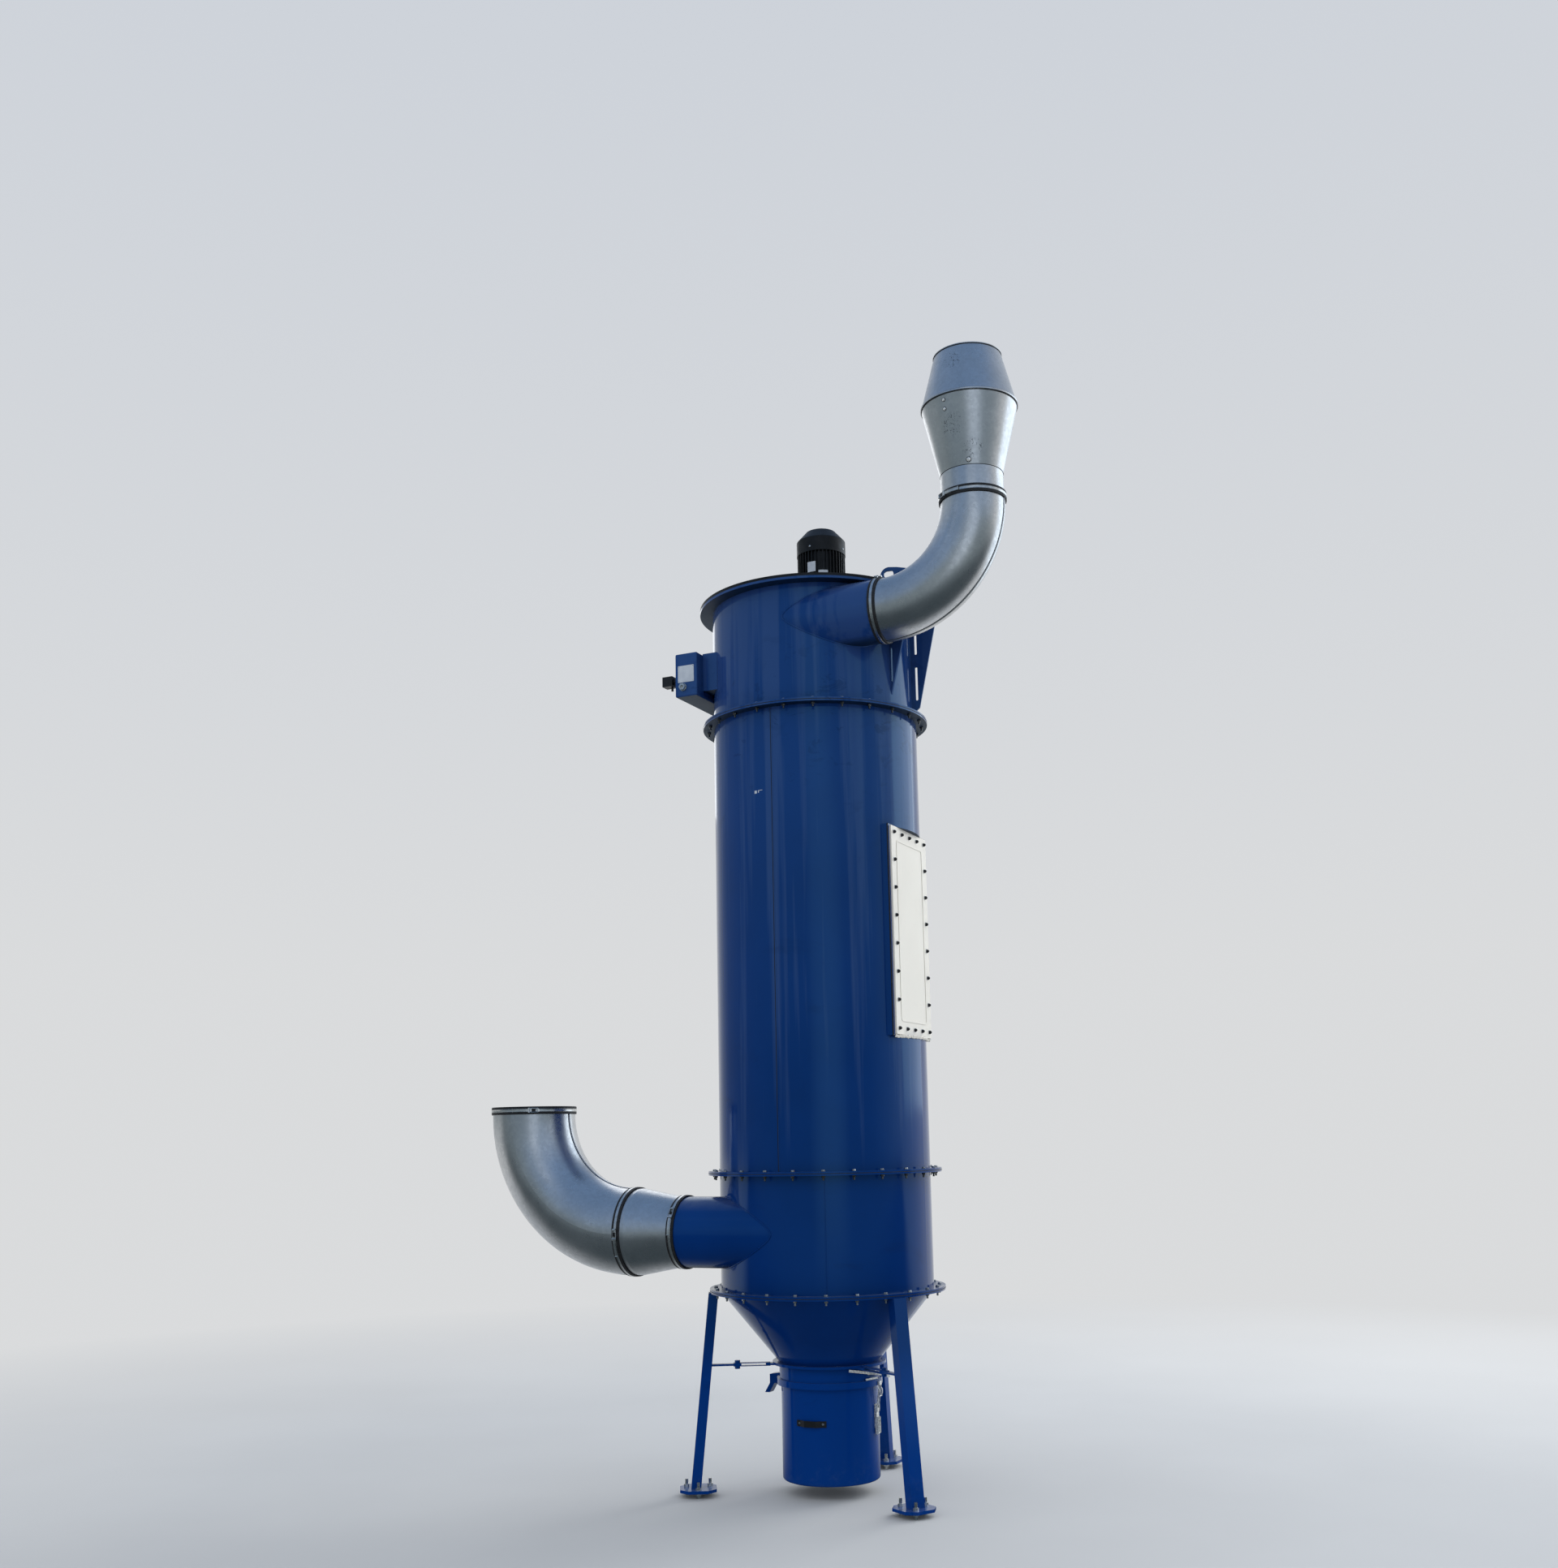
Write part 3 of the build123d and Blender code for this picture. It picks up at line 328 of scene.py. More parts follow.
def black_paint():
    """The motor's and top plate's black enamel over a slightly rough casting."""
    t = Tree("black_paint")
    dusty = t.ramp(t.noise(14, 6, 0.65), 0.48, 0.8, 0, 0.30)
    up = t.ramp(t.facing_up(), 0.5, 0.95, 0.0, 0.35)
    color = t.mix(t.math("MAXIMUM", dusty, up), rgb(0.0045, 0.0055, 0.007),
                  rgb(0.030, 0.033, 0.038))
    rough = t.ramp(t.noise(30, 4, 0.6), 0.3, 0.7, 0.36, 0.52)
    t.bump((t.noise(330, 4, 0.6), 0.18, 0.0007))
    return t.set(color=color, roughness=rough, specular=0.3)


def white_panel():
    """The vent's cream-white sheet with faint water marks and grime."""
    t = Tree("white_panel")
    tone = t.ramp(t.noise(3, 5, 0.6), 0.3, 0.7)
    color = t.mix(tone, rgb(0.73, 0.69, 0.61), rgb(0.79, 0.75, 0.67))
    drips = t.ramp(t.noise(1, 6, 0.65, t.stretch((60, 60, 3))), 0.60, 0.74, 0, 0.22)
    color = t.mix(drips, color, rgb(0.52, 0.49, 0.42))
    grime = t.ramp(t.noise(22, 6, 0.72, distort=0.8), 0.66, 0.76, 0, 0.35)
    color = t.mix(grime, color, rgb(0.36, 0.34, 0.30))
    rough = t.ramp(t.noise(12, 4), 0.3, 0.7, 0.42, 0.58)
    t.bump((t.noise(5, 2), 0.2, 0.004), (t.noise(300, 2), 0.05, 0.0005))
    return t.set(color=color, roughness=rough, specular=0.2)


def black_plastic():
    """The strap handle and the tank's fitting."""
    t = Tree("black_plastic")
    worn = t.ramp(t.noise(70, 5, 0.65), 0.5, 0.8, 0, 0.3)
    color = t.mix(worn, rgb(0.006, 0.006, 0.007), rgb(0.025, 0.025, 0.027))
    rough = t.ramp(t.noise(100, 3), 0.3, 0.7, 0.35, 0.5)
    t.bump((t.noise(420, 3), 0.15, 0.0005))
    return t.set(color=color, roughness=rough)


def shaded_label():
    """A bare white plate, its colour painted grey-blue as if in shade."""
    t = Tree("shaded_label")
    tone = t.ramp(t.noise(30, 4, 0.6), 0.3, 0.7)
    # Grey-blue rather than white: painted shade
    color = t.mix(tone, rgb(0.40, 0.44, 0.50), rgb(0.50, 0.54, 0.59))
    rough = t.ramp(t.noise(80, 3), 0.3, 0.7, 0.28, 0.4)
    t.bump((t.noise(250, 2), 0.05, 0.0004))
    return t.set(color=color, roughness=rough)


def floor_paint():
    """A pale floor that runs into the backdrop far away, and is dark in front to reflections."""
    t = Tree("floor")
    tone = t.ramp(t.noise(0.7, 4, 0.5), 0.3, 0.7)
    color = t.mix(tone, rgb(0.47, 0.47, 0.47), rgb(0.50, 0.50, 0.50))
    t.set(color=color, roughness=0.9)
    away = t.add("ShaderNodeVectorMath", operation="LENGTH")
    t.links.new(t.place, away.inputs[0])
    fade = t.math("MULTIPLY", t.ramp(away.outputs["Value"], 2.6, 8), t.seen_directly())
    before = t.math("MULTIPLY", t.ramp(t.toward(FRONT), -2.2, 0.0), t.only("Is Glossy Ray"))
    ground = t.mix(t.ramp(t.toward(FRONT), 4, 10), GROUND, DISTANCE)
    aim = t.add("ShaderNodeVectorMath", operation="NORMALIZE")
    t.links.new(t.place, aim.inputs[0])
    clear = t.ramp(t.toward(CLEARING, aim.outputs["Vector"]), *CLEARING_EDGE)
    clear = t.math("MULTIPLY", clear, t.ramp(t.toward(FRONT), 8, 20))
    ground = t.mix(clear, ground, CLEAR_GROUND)
    far = t.add("ShaderNodeEmission")
    t.links.new(t.mix(before, HORIZON, ground), far.inputs["Color"])
    mixed = t.add("ShaderNodeMixShader")
    t.links.new(t.math("MAXIMUM", fade, before), mixed.inputs["Fac"])
    t.links.new(t.shader.outputs[0], mixed.inputs[1])
    t.links.new(far.outputs[0], mixed.inputs[2])
    t.links.new(mixed.outputs[0], t.nodes["Material Output"].inputs["Surface"])
    return t.material


BLUE = blue_paint()
GALVANISED = galvanised()
ZINC = bright_zinc()
RUBBER = black_rubber()
BLACK = black_paint()
WHITE = white_panel()
PLASTIC = black_plastic()
SHADED_LABEL = shaded_label()
DULL = dull_zinc()
# A darker copy of the dull zinc: painted shade for the nuts under the middle and upper flanges
SHADED_ZINC = dull_zinc("shaded_zinc", 0.3)
# A brighter, less metallic copy of the zinc: painted sunlight on the bin's catches and the stack's
# rivets
SUNLIT_ZINC = bright_zinc("sunlit_zinc", 0.6, 1.25)
LOOKS = {"blue_paint": BLUE, "galvanised": GALVANISED, "zinc": ZINC, "black_paint": BLACK,
         "white_panel": WHITE, "black_plastic": PLASTIC}


def dress_nodes():
    """Every node gets its slot's material, and the bin's catches a zinc painted brighter as if
    sunlit.
    """
    slots = {row["node"]: row["material_slot"] for row in frame["record"]["subparts"]}
    for name, node in frame["nodes"].items():
        node.data.materials.clear()
        # The bin's latch and closing lever take the brighter zinc: painted sunlight
        pale = name in ("bin_latch", "closing_lever")
        node.data.materials.append(SUNLIT_ZINC if pale else LOOKS[slots[name]])


def add_stage():
    bpy.ops.mesh.primitive_circle_add(vertices=64, radius=90, fill_type="NGON")
    floor = bpy.context.object
    floor.name = "floor"
    floor.data.materials.append(floor_paint())


def add_lights():
    """A pale surround for the camera, another one for reflections, and soft lamps."""
    world = bpy.data.worlds.new("world")
    bpy.context.scene.world = world
    t = Tree("surround", world)
    look = t.add("ShaderNodeTexCoord").outputs["Generated"]
    rise = t.toward((0, 0, 1), look)
    pale = t.mix(t.ramp(rise, 0.10, 0.75, 0, 0.3), HORIZON, OVERHEAD)
    sky = t.mix(t.ramp(rise, 0.20, 0.60), LOW_SKY, HIGH_SKY)
    clouds = t.noise(2.6, 3, 0.5, t.stretch((1, 1, 0.3), look))
    cloudy = t.math("MULTIPLY", t.ramp(clouds, 0.50, 0.62, 0, 0.8), t.ramp(rise, 0.70, 0.45))
    sky = t.mix(cloudy, sky, CLOUD)
    before = t.mix(t.ramp(rise, 0.04, 0.24), DISTANCE, sky)
    beside = t.mix(t.ramp(rise, 0.25, 0.55), DISTANCE, sky)
    shown = t.mix(t.ramp(rise, 0.35, 0.85), HORIZON, HIGH_SKY)
    shown = t.mix(t.ramp(t.toward(LEFT, look), 0.35, 0.80), shown, beside)
    shown = t.mix(t.ramp(t.toward(FRONT, look), 0.10, 0.60), shown, before)
    shown = t.mix(t.ramp(t.toward(CLEARING, look), *CLEARING_EDGE), shown, CLEAR_SKY)
    color = t.mix(t.only("Is Camera Ray"), shown, pale)
    seen = t.add("ShaderNodeBackground")
    t.links.new(color, seen.inputs["Color"])
    light = t.nodes["Background"]
    light.inputs["Color"].default_value = AMBIENT
    light.inputs["Strength"].default_value = 1.0
    mixed = t.add("ShaderNodeMixShader")
    t.links.new(t.seen_directly(), mixed.inputs["Fac"])
    t.links.new(light.outputs[0], mixed.inputs[1])
    t.links.new(seen.outputs[0], mixed.inputs[2])
    t.links.new(mixed.outputs[0], t.nodes["World Output"].inputs["Surface"])
    for name, place, aim, size, power, tint, mirrored in LAMPS:
        data = bpy.data.lights.new(name, "AREA")
        data.shape = "RECTANGLE"
        data.size, data.size_y = size
        data.energy = power
        data.color = tint
        lamp = bpy.data.objects.new(name, data)
        lamp.location = place
        lamp.rotation_euler = (Vector(aim) - Vector(place)).to_track_quat("-Z", "Y").to_euler()
        lamp.visible_camera = False
        lamp.visible_glossy = mirrored
        bpy.context.scene.collection.objects.link(lamp)


# Sizes repeated from the solids, in millimetres
BODY_R = 440
FLANGE_R = 487
JOINTS = {"lower": 808, "middle": 1284, "upper": 3189}
FLANGE_T = 8
TOP_Z = 3721
INLET_X, INLET_Y, INLET_Z, INLET_R, DUCT_R = -504, -293, 1048, 144, 177.5
OUTLET_X, OUTLET_Y, OUTLET_Z, OUTLET_R = 446, -306, 3560, 131
STACK_X, STACK_Z = 850, 3964
ELBOW_X, MOUTH_X, MOUTH_Z = -738, -1251, 1561
INLET_BEND, OUTLET_BEND, BEND_STRAIGHT = 498, 389, 15
VENT_X, VENT_Z, VENT_W, VENT_H = 418, 2257, 438, 865
VENT_BOX_X = 409
MOTOR = (32, 39, 0)
MOTOR_FLANGE_T = 14
TANK_FRONT = (-448.5, -350, 3408.5)
STRAP_R, STRAP_Z, STRAP_ANGLES = 203, 296.5, (-75.4, -104.6)
LEVER_ANGLE = -18

# Sizes of the fasteners, seams and plates that only the scene has, in millimetres
BOLT_COUNT = 24
JOINT_BOLT_R, TOP_BOLT_R = 463, 470
BOLT_FLATS, BOLT_HEAD_TOP = 13, 7
WASHER_R, WASHER_T = 8.5, 1.6
VENT_BOLT_Y, VENT_BOLT_Z = 177.5, 403
SEALANT_HALF = 203
PLATE_R0, PLATE_R1 = 106.3, 107.4
CONE_FOOT_Z, CONE_FOOT_R, CONE_SLOPE = 4062, 127, 68 / 290

# The sections' long seams: angle and both ends
SEAMS = ((-91, 1294, 3180), (-67.3, 818, 1275), (130, 3198, 3698))
# The scrap of tape: start, sweep and both ends
TAPE = ((-101.9, 1.5, 2826, 2838), (-99.6, 0.5, 2828, 2838), (-99.05, 2.2, 2836, 2838))
# The motor's bare plates: both ends, start and sweep
MOTOR_PLATES = ((3877, 3923, -101.5, 20.5), (3852, 3881, -74, 22))
# The stack's rivets and screw: angle, height and radius
RIVETS = ((-104.6, 4325.7, 6.5), (-105.2, 4290.4, 6.5), (-76.7, 4080.3, 9))
# The stack's creases, each a black ring painted as its shadow line: height, radius and thickness
STACK_CREASE_SHADOWS = ((4570, 138.4, 1.6), (4356.5, 194.0, 1.6), (4346.5, 194.2, 1.8),
                 (4063, 127.4, 1.2))


def along(origin, axis=(0, 0, 1), turn=0, zero=None):
    """A place whose own Z axis lies along axis and whose own X axis points to zero."""
    z = Vector(axis).normalized()
    x = Vector(zero or ((1, 0, 0) if abs(z.x) < 0.9 else (0, -1, 0)))
    x = (x - z * x.dot(z)).normalized()
    place = Matrix((x, z.cross(x), z)).transposed().to_4x4()
    place.translation = Vector(origin)
    return place @ Matrix.Rotation(radians(turn), 4, "Z")


def polar(radius, angle, z=0):
    return Vector((radius * cos(radians(angle)), radius * sin(radians(angle)), z))


class Piece:
    """One mesh of simple parts, in millimetres until it is made."""

    def __init__(self):
        self.points = []
        self.faces = []

    def add(self, points, faces, place=None):
        start = len(self.points)
        place = place or Matrix.Identity(4)
        self.points += [place @ Vector(p) for p in points]
        self.faces += [[start + i for i in face] for face in faces]

    def turned(self, outline, place=None, steps=32, start=0, sweep=360):
        """A closed (radius, height) outline turned about the place's Z axis."""
        whole = sweep == 360
        count = steps if whole else steps + 1
        size = len(outline)
        points = [polar(r, start + sweep * i / steps, z) for i in range(count) for r, z in outline]
        faces = []
        for i in range(steps):
            a, b = i * size, ((i + 1) % count) * size
            for j in range(size):
                k = (j + 1) % size
                faces.append((a + j, b + j, b + k, a + k))
        if not whole:
            faces += [tuple(range(size)), tuple(range((count - 1) * size, count * size))[::-1]]
        self.add(points, faces, place)

    def prism(self, outline, z0, z1, place=None):
        """An (x, y) outline raised from z0 to z1."""
        size = len(outline)
        points = [(x, y, z0) for x, y in outline] + [(x, y, z1) for x, y in outline]
        faces = [tuple(range(size))[::-1], tuple(range(size, 2 * size))]
        faces += [(i, (i + 1) % size, size + (i + 1) % size, size + i) for i in range(size)]
        self.add(points, faces, place)

    def hexagon(self, flats, z0, z1, place, chamfer=0.8, bore=0):
        """A nut or bolt head, rounded off at its top corners."""
        steps, tip = 24, flats / 2 / cos(pi / 6)
        points = []
        for z, cut in ((z0, 0), (z1 - chamfer, 0), (z1, chamfer * 1.6)):
            for i in range(steps):
                a = 2 * pi * i / steps
                side = (a + pi / 6) % (pi / 3) - pi / 6
                edge = flats / 2 / cos(side)
                if cut:
                    edge = min(edge, tip - cut)
                points.append((edge * cos(a), edge * sin(a), z))
        rows = 5 if bore else 3
        if bore:
            points += [polar(bore, 360 * i / steps, z) for z in (z1, z0) for i in range(steps)]
            faces = []
        else:
            faces = [tuple(range(steps))[::-1], tuple(range(2 * steps, 3 * steps))]
        for row in range(rows if bore else rows - 1):
            a, b = row * steps, (row + 1) % rows * steps
            faces += [(a + i, a + (i + 1) % steps, b + (i + 1) % steps, b + i)
                      for i in range(steps)]
        self.add(points, faces, place)

    def disc(self, radius, z0, z1, place=None, steps=24, edge=0.4, bore=0):
        """A washer, pin or plate with softened rims."""
        self.turned([(bore, z0), (radius - edge, z0), (radius, z0 + edge), (radius, z1 - edge),
                     (radius - edge, z1), (bore, z1)], place, steps)

    def dome(self, radius, height, place, steps=20, rings=6):
        """A rounded cap on the place's XY plane."""
        outline = [(0, 0)] + [(radius * cos(pi / 2 * i / rings), height * sin(pi / 2 * i / rings))
                              for i in range(rings + 1)]
        self.turned(outline, place, steps)

    def block(self, size, place, edge=1.0):
        """A block centred on the place with its long edges softened."""
        x, y, z = (v / 2 for v in size)
        outline = []
        for sx, sy in ((1, 1), (-1, 1), (-1, -1), (1, -1)):
            corner = [(sx * (x - edge), sy * y), (sx * x, sy * (y - edge))]
            outline += corner if sx * sy < 0 else corner[::-1]
        self.prism(outline, -z, z, place)

    def rod(self, path, radius, sides=8, closed=False):
        """A round rod along a line of points."""
        line = [Vector(p) for p in path]
        count = len(line)
        points, side = [], None
        for i, here in enumerate(line):
            ahead = line[(i + 1) % count] if closed or i + 1 < count else here
            behind = line[i - 1] if closed or i else here
            run = (ahead - behind).normalized()
            side = side or run.orthogonal()
            side = (side - run * side.dot(run)).normalized()
            up = run.cross(side)
            turns = [2 * pi * j / sides for j in range(sides)]
            points += [here + (side * cos(a) + up * sin(a)) * radius for a in turns]
        faces = []
        for i in range(count if closed else count - 1):
            a, b = i * sides, ((i + 1) % count) * sides
            faces += [(a + j, a + (j + 1) % sides, b + (j + 1) % sides, b + j)
                      for j in range(sides)]
        if not closed:
            faces += [tuple(range(sides))[::-1],
                      tuple(range((count - 1) * sides, count * sides))]
        self.add(points, faces)

    def make(self, name, material, slot, sharp=38):
        """A clean mesh in metres that rides on the body; the slot argument is not used."""
        mesh = bpy.data.meshes.new(name)
        mesh.from_pydata([tuple(p / 1000) for p in self.points], [], self.faces)
        work = bmesh.new()
        work.from_mesh(mesh)
        bmesh.ops.remove_doubles(work, verts=work.verts, dist=1e-6)
        bmesh.ops.dissolve_degenerate(work, edges=work.edges, dist=1e-7)
        bare = [edge for edge in work.edges if not edge.link_faces]
        bmesh.ops.delete(work, geom=bare, context="EDGES")
        bmesh.ops.recalc_face_normals(work, faces=work.faces)
        work.to_mesh(mesh)
        work.free()
        mesh.polygons.foreach_set("use_smooth", [True] * len(mesh.polygons))
        mesh.set_sharp_from_angle(angle=radians(sharp))
        mesh.materials.append(material)
        made = bpy.data.objects.new(name, mesh)
        bpy.context.scene.collection.objects.link(made)
        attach(made, "root")
        return made


def bolt_head(piece, place):
    piece.disc(WASHER_R, 0, WASHER_T, place)
    piece.hexagon(BOLT_FLATS, WASHER_T, BOLT_HEAD_TOP, place)


def joint_bolts():
    """Hexagon bolts through each pair of bolting flanges, with their nuts below."""
    for name, z in JOINTS.items():
        bolts, nuts = Piece(), Piece()
        for i in range(BOLT_COUNT):
            angle = 360 / BOLT_COUNT * (i + 0.5)
            bolt_head(bolts, along(polar(JOINT_BOLT_R, angle, z + FLANGE_T),
                                   turn=angle + 17 * i))
            low = along(polar(JOINT_BOLT_R, angle, z - FLANGE_T), (0, 0, -1), turn=23 * i)
            nuts.disc(WASHER_R, 0, WASHER_T, low)
            nuts.hexagon(BOLT_FLATS, WASHER_T, 8.4, low, bore=3.6)
            nuts.disc(4, WASHER_T, 19, low, 16, 0.8)
        bolts.make(f"joint_bolts_{name}", DULL, "zinc")
        # The nuts under the middle and upper flanges take the darker zinc as painted shade
        nuts.make(f"joint_nuts_{name}", DULL if name == "lower" else SHADED_ZINC, "zinc")
        gasket = Piece()
        gasket.turned([(FLANGE_R - 12, -1.2), (FLANGE_R + 0.6, -1.2), (FLANGE_R + 0.6, 1.2),
                       (FLANGE_R - 12, 1.2)], along((0, 0, z)), 128)
        gasket.make(f"joint_gasket_{name}", RUBBER, "black_plastic")


def top_bolts():
    """Low hexagon bolts that hold the top plate to the rim."""
    bolts = Piece()
    for i in range(BOLT_COUNT):
        angle = 360 / BOLT_COUNT * (i + 0.5)
        bolt_head(bolts, along(polar(TOP_BOLT_R, angle, TOP_Z), turn=angle + 31 * i))
    bolts.make("top_plate_bolts", DULL, "zinc")


def vent_bolts():
    """The capped bolts round the vent: five along its ends and six more along its sides."""
    bolts, washers = Piece(), Piece()
    places = [(VENT_BOLT_Y * i / 2, z) for z in (-VENT_BOLT_Z, VENT_BOLT_Z)
              for i in range(-2, 3)]
    places += [(y, -VENT_BOLT_Z + 2 * VENT_BOLT_Z / 7 * i) for y in (-VENT_BOLT_Y, VENT_BOLT_Y)
               for i in range(1, 7)]
    for y, z in places:
        place = along((VENT_X, y, VENT_Z + z), (1, 0, 0))
        washers.disc(9.5, 0, 1.5, place)
        bolts.hexagon(BOLT_FLATS, 1.5, 6.5, place, 0.5)
        bolts.dome(5.8, 5.5, place @ Matrix.Translation((0, 0, 6.4)))
    bolts.make("vent_bolt_caps", RUBBER, "black_plastic")
    washers.make("vent_washers", ZINC, "zinc")


def clamp(name, origin, axis, radius, toggle, side):
    """A black seal over the joint, a bright band round it, and its toggle.

    Angles run from the front, up or to the right. The lever lies from the toggle's
    angle towards the side, and the wire loop hooks on at the other end.
    """
    place = along(origin, axis, 0, (0, -1, 0))
    r = radius
    seal = Piece()
    seal.turned([(r + 0.1, -16.5), (r + 4, -16.5), (r + 5.8, -15), (r + 6, -6), (r + 6, 6),
                 (r + 5.8, 15), (r + 4, 16.5), (r + 0.1, 16.5)], place, 128)
    seal.make(f"seal_{name}", RUBBER, "black_plastic")
    band = Piece()
    per_mm = 180 / (pi * r)
    channel = [(r + 5.6, -5.2), (r + 6.4, -5.7), (r + 6.9, -5), (r + 6.7, -3.4), (r + 6.6, 0),
               (r + 6.7, 3.4), (r + 6.9, 5), (r + 6.4, 5.7), (r + 5.6, 5.2)]
    gap = 16 * per_mm
    band.turned(channel, place, 128, toggle + (gap if side < 0 else 0), 360 - gap)
    # The lever, bent round the band, with rolled edges and a lip at its free end
    lever = [(r + 10.2, -5.4), (r + 12.4, -6), (r + 12.4, -4.8), (r + 11.4, -4), (r + 11.4, 4),
             (r + 12.4, 4.8), (r + 12.4, 6), (r + 10.2, 5.4)]
    reach = 78 * per_mm
    start = toggle - reach if side < 0 else toggle
    band.turned(lever, place, 24, start, reach)
    tip = place @ Matrix.Rotation(radians(toggle + side * reach), 4, "Z")
    band.block((4.6, 3, 14), tip @ Matrix.Translation((r + 13, 0, 0)), 1)
    # The loop of wire from the lever's pivot to the hook on the band's other end
    pivot, hook = toggle + side * 10 * per_mm, toggle - side * 26 * per_mm
    loop = [(pivot, -8.2), (hook, -8.2), (hook, 8.2), (pivot, 8.2)]
    band.rod([place @ polar(r + 12 + (1.5 if a == hook else 0), a, w) for a, w in loop], 1.7,
             8, closed=True)
    for angle, depth in ((pivot, 20), (hook, 13)):
        spot = place @ Matrix.Rotation(radians(angle), 4, "Z")
        spot = spot @ Matrix.Translation((r + 11, 0, 0))
        band.block((8, 9, depth), spot, 2)
    made = band.make(f"band_{name}", ZINC, "zinc")
    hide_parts(f"clamp_{name}")


def clamps():
    left, up = (-1, 0, 0), (0, 0, 1)
    clamp("inlet_spigot", (INLET_X, INLET_Y, INLET_Z), left, INLET_R, 30, -1)
    clamp("inlet_elbow", (ELBOW_X, INLET_Y, INLET_Z), left, DUCT_R, -3, -1)
    clamp("inlet_mouth", (MOUTH_X, INLET_Y, MOUTH_Z), up, DUCT_R, 30, -1)
    clamp("outlet_spigot", (OUTLET_X, OUTLET_Y, OUTLET_Z), left, OUTLET_R, 76, 1)
    clamp("stack", (STACK_X, OUTLET_Y, STACK_Z), up, OUTLET_R, -40, 1)


def weld_beads():
    """The fillet weld where each spigot meets the vessel."""
    for name, side, y0, z0, r in (("inlet", -1, INLET_Y, INLET_Z, INLET_R),
                                  ("outlet", 1, OUTLET_Y, OUTLET_Z, OUTLET_R)):
        bead = Piece()
        path = []
        for i in range(160):
            a = 2 * pi * i / 160
            y = y0 + (r + 0.5) * cos(a)
            path.append((side * sqrt(max(1.0, (BODY_R + 0.5) ** 2 - y * y)), y,
                         z0 + (r + 0.5) * sin(a)))
        bead.rod(path, 3.2, 8, closed=True)
        bead.make(f"weld_{name}_spigot", BLUE, "blue_paint")


def long_seams():
    """The sections' long seams, with a black rod painted as the crease's shade beside the upper
    two, and a scrap of tape.
    """
    seams, crease_shadows = Piece(), Piece()
    for angle, low, high in SEAMS:
        # Beside the upper seams a thin black rod stands for painted shade in the crease
        sides = ((seams, 0.2, 2.2), (crease_shadows, -0.25, 1.6))
        for piece, shift, thick in sides if low > JOINTS["middle"] else sides[:1]:
            piece.rod([polar(BODY_R - 0.4, angle + shift, low + (high - low) * i / 24)
                       for i in range(25)], thick)
    seams.make("weld_seams", BLUE, "blue_paint")
    crease_shadows.make("weld_seam_crease_shadows", BLACK, "black_paint")
    tape = Piece()
    inner, outer = BODY_R + 0.1, BODY_R + 0.7
    for start, sweep, low, high in TAPE:
        tape.turned([(inner, low), (outer, low), (outer, high), (inner, high)], None, 4, start,
                    sweep)
    tape.make("tape_remnant", SHADED_LABEL, "white_panel")


def elbow_seams():
    """The pressed bends' folded seams along the outer and inner curve, with a black rod either
    side painted as the seam's shadow edge.
    """
    seams, crease_shadows = Piece(), Piece()
    elbows = (((ELBOW_X, INLET_Y, INLET_Z), -1, DUCT_R, INLET_BEND),
              ((OUTLET_X, OUTLET_Y, OUTLET_Z), 1, OUTLET_R, OUTLET_BEND))
    # The black rods either side of each seam are painted shadow edges
    rods = ((seams, 0, 2.6), (crease_shadows, -4.2, 1.5), (crease_shadows, 4.2, 1.5))
    for origin, side, radius, bend in elbows:
        for reach in (bend + radius, bend - radius):
            for piece, shift, thick in rods:
                turns = [pi / 2 * i / 48 for i in range(49)]
                piece.rod([Vector(origin) + Vector((side * (BEND_STRAIGHT + reach * sin(a)), shift,
                                                    bend - reach * cos(a)))
                           for a in turns], thick)
    seams.make("elbow_seams", GALVANISED, "galvanised")
    crease_shadows.make("elbow_seam_crease_shadows", RUBBER, "black_plastic")


def stack_edges():
    """Black rings painted as the shadow lines of the creases at the stack's mouth and at the
    joints of its cones.
    """
    crease_shadows = Piece()
    for z, r, thick in STACK_CREASE_SHADOWS:
        crease_shadows.rod([Vector((STACK_X, OUTLET_Y, 0)) + polar(r, 360 * i / 96, z)
                     for i in range(96)], thick, closed=True)
    crease_shadows.make("stack_crease_shadows", RUBBER, "black_plastic")


def vent_seal():
    """The dark gasket behind the vent's panel and the crumpled strip of sealant below it."""
    gasket = Piece()
    x = VENT_X - 11.4
    for side in (-1, 1):
        gasket.block((6, 3, VENT_H - 3), along((x, side * VENT_W / 2, VENT_Z)), 1)
        gasket.block((6, 3, VENT_W), along((x, 0, VENT_Z + side * VENT_H / 2), (0, 1, 0)), 1)
    gasket.make("vent_gasket", RUBBER, "black_plastic")
    strip = Piece()
    for drop, thick in ((0, 3.4), (5, 3.0)):
        path = []
        for i in range(81):
            y = -SEALANT_HALF + 2 * SEALANT_HALF * i / 80
            skin = max(VENT_BOX_X, sqrt(BODY_R ** 2 - y * y))
            ripple = 2.4 * sin(i * 2.3 + drop) + 1.2 * sin(i * 0.9)
            path.append((skin + 2 + 1.6 * sin(i * 1.7 + drop), y,
                         VENT_Z - VENT_H / 2 - drop + ripple))
        strip.rod(path, thick, 10)
    strip.make("vent_sealant", WHITE, "white_panel")


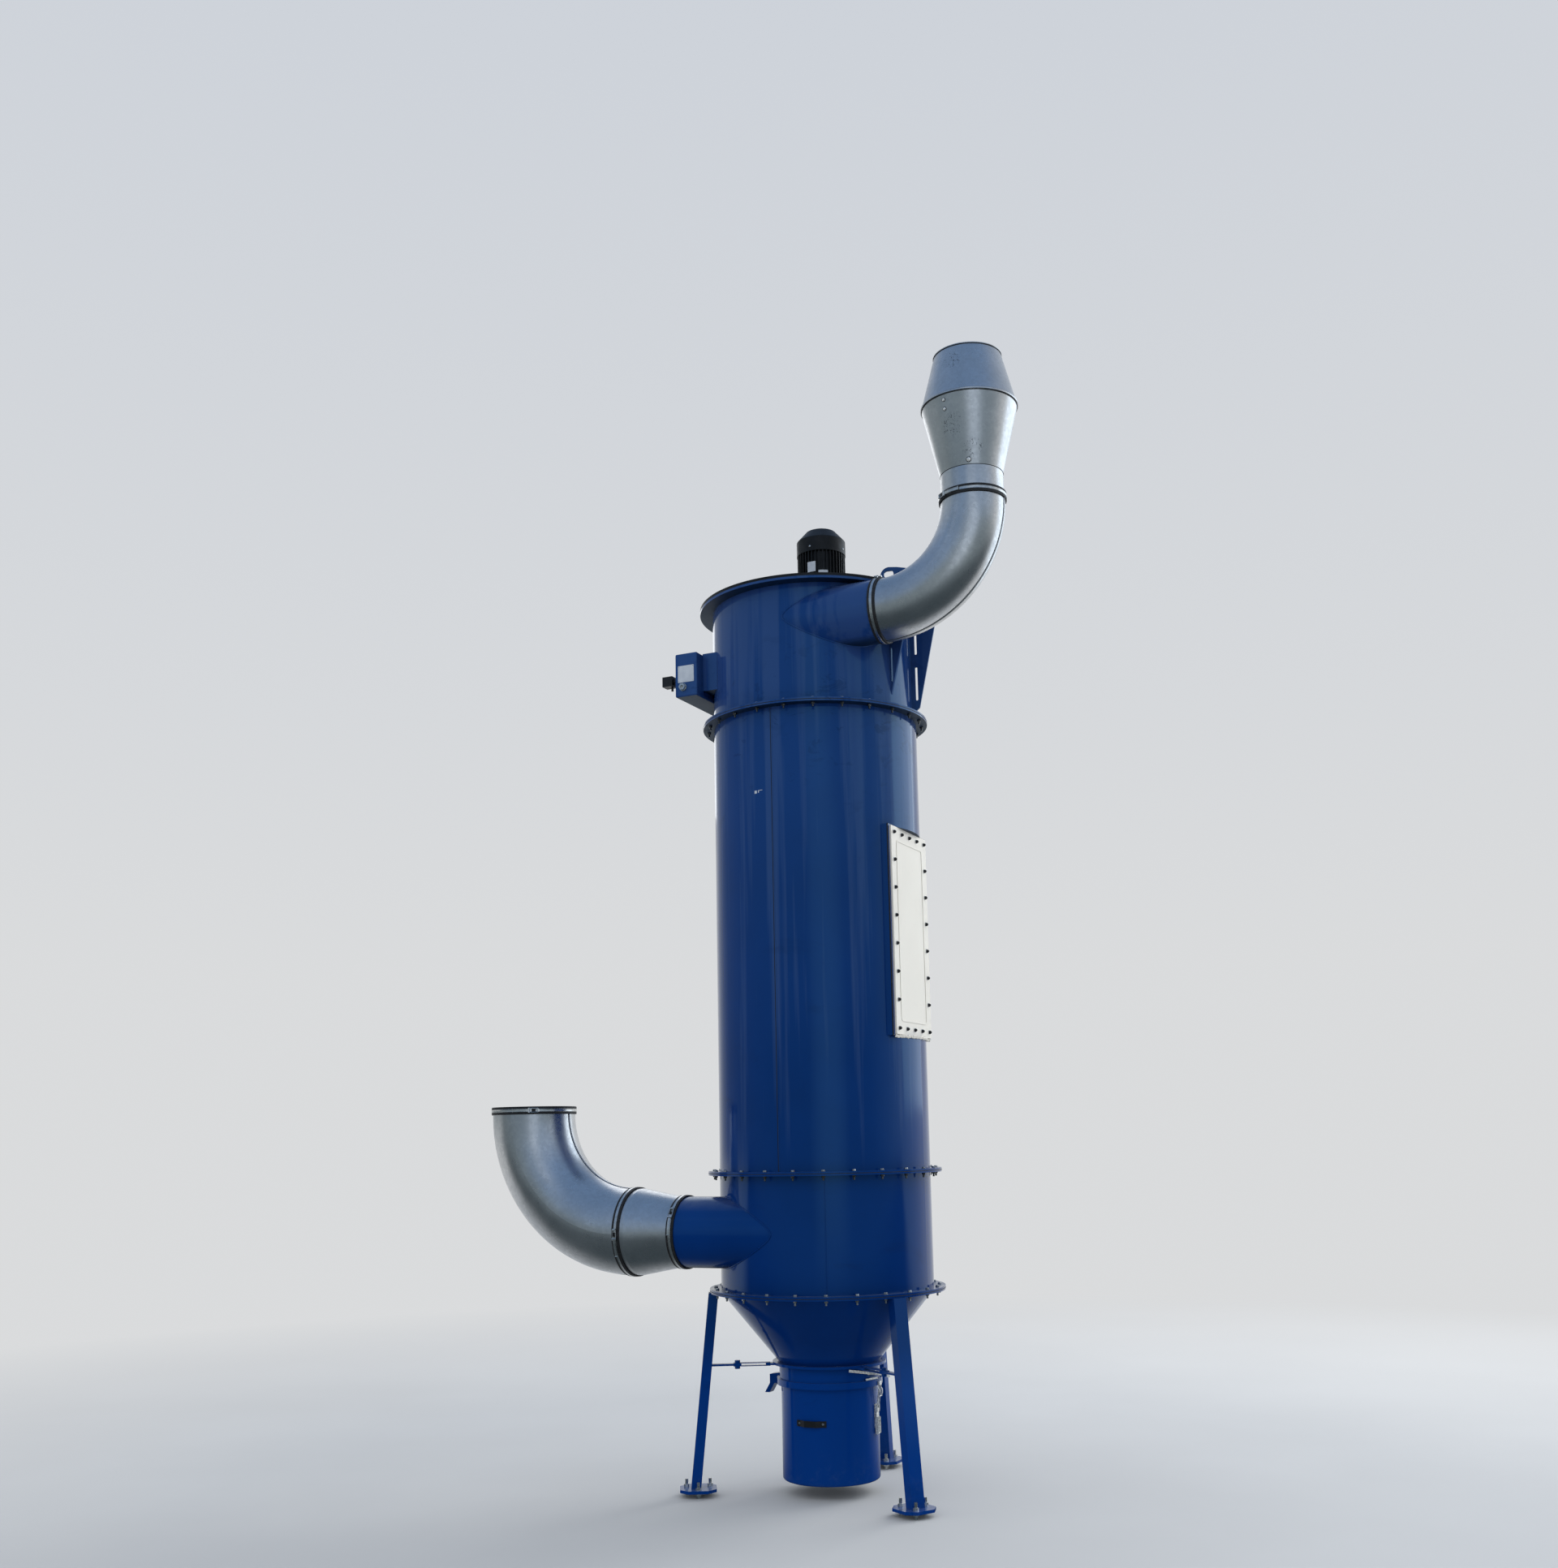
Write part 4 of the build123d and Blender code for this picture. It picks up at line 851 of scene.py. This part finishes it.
def stack_rivets():
    """Two rivets and a screw on the stack's widening cone, in the brighter zinc, each ringed by a
    black disc painted as its shadow.
    """
    rivets, rings = Piece(), Piece()
    for angle, z, r in RIVETS:
        cone_r = CONE_FOOT_R + CONE_SLOPE * (z - CONE_FOOT_Z)
        lean = polar(1, angle, -CONE_SLOPE)
        place = along(Vector((STACK_X, OUTLET_Y, 0)) + polar(cone_r, angle, z), lean)
        # A black disc under each rivet: painted shadow ring
        rings.disc(r + 2, -1, 0.8, place)
        rivets.dome(r, r * 0.5, place @ Matrix.Translation((0, 0, 0.7)))
    rivets.make("stack_rivets", SUNLIT_ZINC, "zinc")
    rings.make("stack_rivet_shadow_rings", RUBBER, "black_plastic")


def motor_details():
    """The two bare plates, the cowl's screws and the flange's bolts."""
    centre = Vector(MOTOR)
    plates = Piece()
    for low, high, start, sweep in MOTOR_PLATES:
        plates.turned([(PLATE_R0, low), (PLATE_R1, low), (PLATE_R1, high), (PLATE_R0, high)],
                      along(centre), 8, start, sweep)
    plates.make("motor_plates", SHADED_LABEL, "white_panel")
    screws = Piece()
    for i in range(4):
        angle = -94 + 90 * i
        screws.dome(5, 3.2, along(centre + polar(108, angle, 3995), polar(1, angle)))
    for i in range(8):
        place = along(centre + polar(110.5, 22.5 + 45 * i, TOP_Z + MOTOR_FLANGE_T))
        screws.disc(6.5, 0, 1.2, place, 20)
        screws.hexagon(10, 1.2, 6, place)
    screws.make("motor_screws", ZINC, "zinc")


def tank_details():
    """The bare rating plate with its rivets on the tank's front end."""
    plate = Piece()
    place = along(TANK_FRONT, (0, -1, 0))
    plate.block((77, 74, 2.4), place, 2)
    plate.make("rating_plate", SHADED_LABEL, "white_panel")
    rivets = Piece()
    for x in (-34, 34):
        for y in (-32, 32):
            rivets.dome(2, 1.2, place @ Matrix.Translation((x, y, 1.2)))
    rivets.make("rating_plate_rivets", ZINC, "zinc")


def bin_details():
    """The strap handles' rivets."""
    rivets = Piece()
    for turn in (0, 180):
        for angle in STRAP_ANGLES:
            place = along(polar(STRAP_R, angle + turn, STRAP_Z), polar(1, angle + turn))
            rivets.disc(5, 0, 1, place)
            rivets.dome(3.2, 2.4, place @ Matrix.Translation((0, 0, 0.9)))
    rivets.make("strap_rivets", DULL, "zinc")


def latch_details():
    """The pins and rolled edges of the bin's latch, and the closing lever's link and bolts."""
    latch = Piece()
    for z, x, half in ((322, 206, 15), (300, 204, 14), (386, 221.5, 15)):
        latch.rod([(x, -half, z), (x, half, z)], 2.4, 12)
    for y in (-12.4, 12.4):
        latch.rod([(206, y, 242), (208, y, 284), (207, y, 320)], 1.8, 10)
    latch.rod([(209.5, -13.5, 240), (209.5, 13.5, 240)], 3.2, 12)
    for y in (-12.8, 12.8):
        latch.block((14, 2, 64), along((208.5, y, 272)), 0.8)
        latch.block((12, 2.4, 26), along((207, y, 338)), 0.8)
    latch.block((9, 20, 12), along((206.5, 0, 332)), 2)
    for z in (352, 262):
        latch.dome(3.4, 2.4, along((202.2, 0, z), (1, 0, 0)))
    for side in (-1, 1):
        latch.rod([(221, side * 9, 385), (226, side * 12, 398), (224, side * 15, 412),
                   (214, side * 17, 424)], 2.2, 10)
    latch.make("latch_pins", SUNLIT_ZINC, "zinc")
    link = Piece()
    turn = Matrix.Rotation(radians(LEVER_ANGLE), 4, "Z")
    slope = turn @ Matrix.Translation((226, 20, 484)) @ Matrix.Rotation(radians(-17), 4, "X")
    link.block((4, 132, 9), slope, 1.4)
    for y, reach in ((-52, 8), (0, 9), (48, 8)):
        place = slope @ Matrix.Translation((1.5, y, 0)) @ Matrix.Rotation(radians(90), 4, "Y")
        link.disc(reach, 0, 1.4, place)
        link.hexagon(reach * 1.25, 1.4, 5.5, place, 0.6)
    link.block((4, 74, 7), turn @ Matrix.Translation((220, 6, 461)), 1)
    link.make("closing_lever_link", SUNLIT_ZINC, "zinc")


add_camera()
dress_nodes()
joint_bolts()
top_bolts()
vent_bolts()
clamps()
weld_beads()
long_seams()
elbow_seams()
stack_edges()
vent_seal()
stack_rivets()
motor_details()
tank_details()
bin_details()
latch_details()
add_stage()
add_lights()
bpy.context.scene.view_settings.view_transform = "Standard"
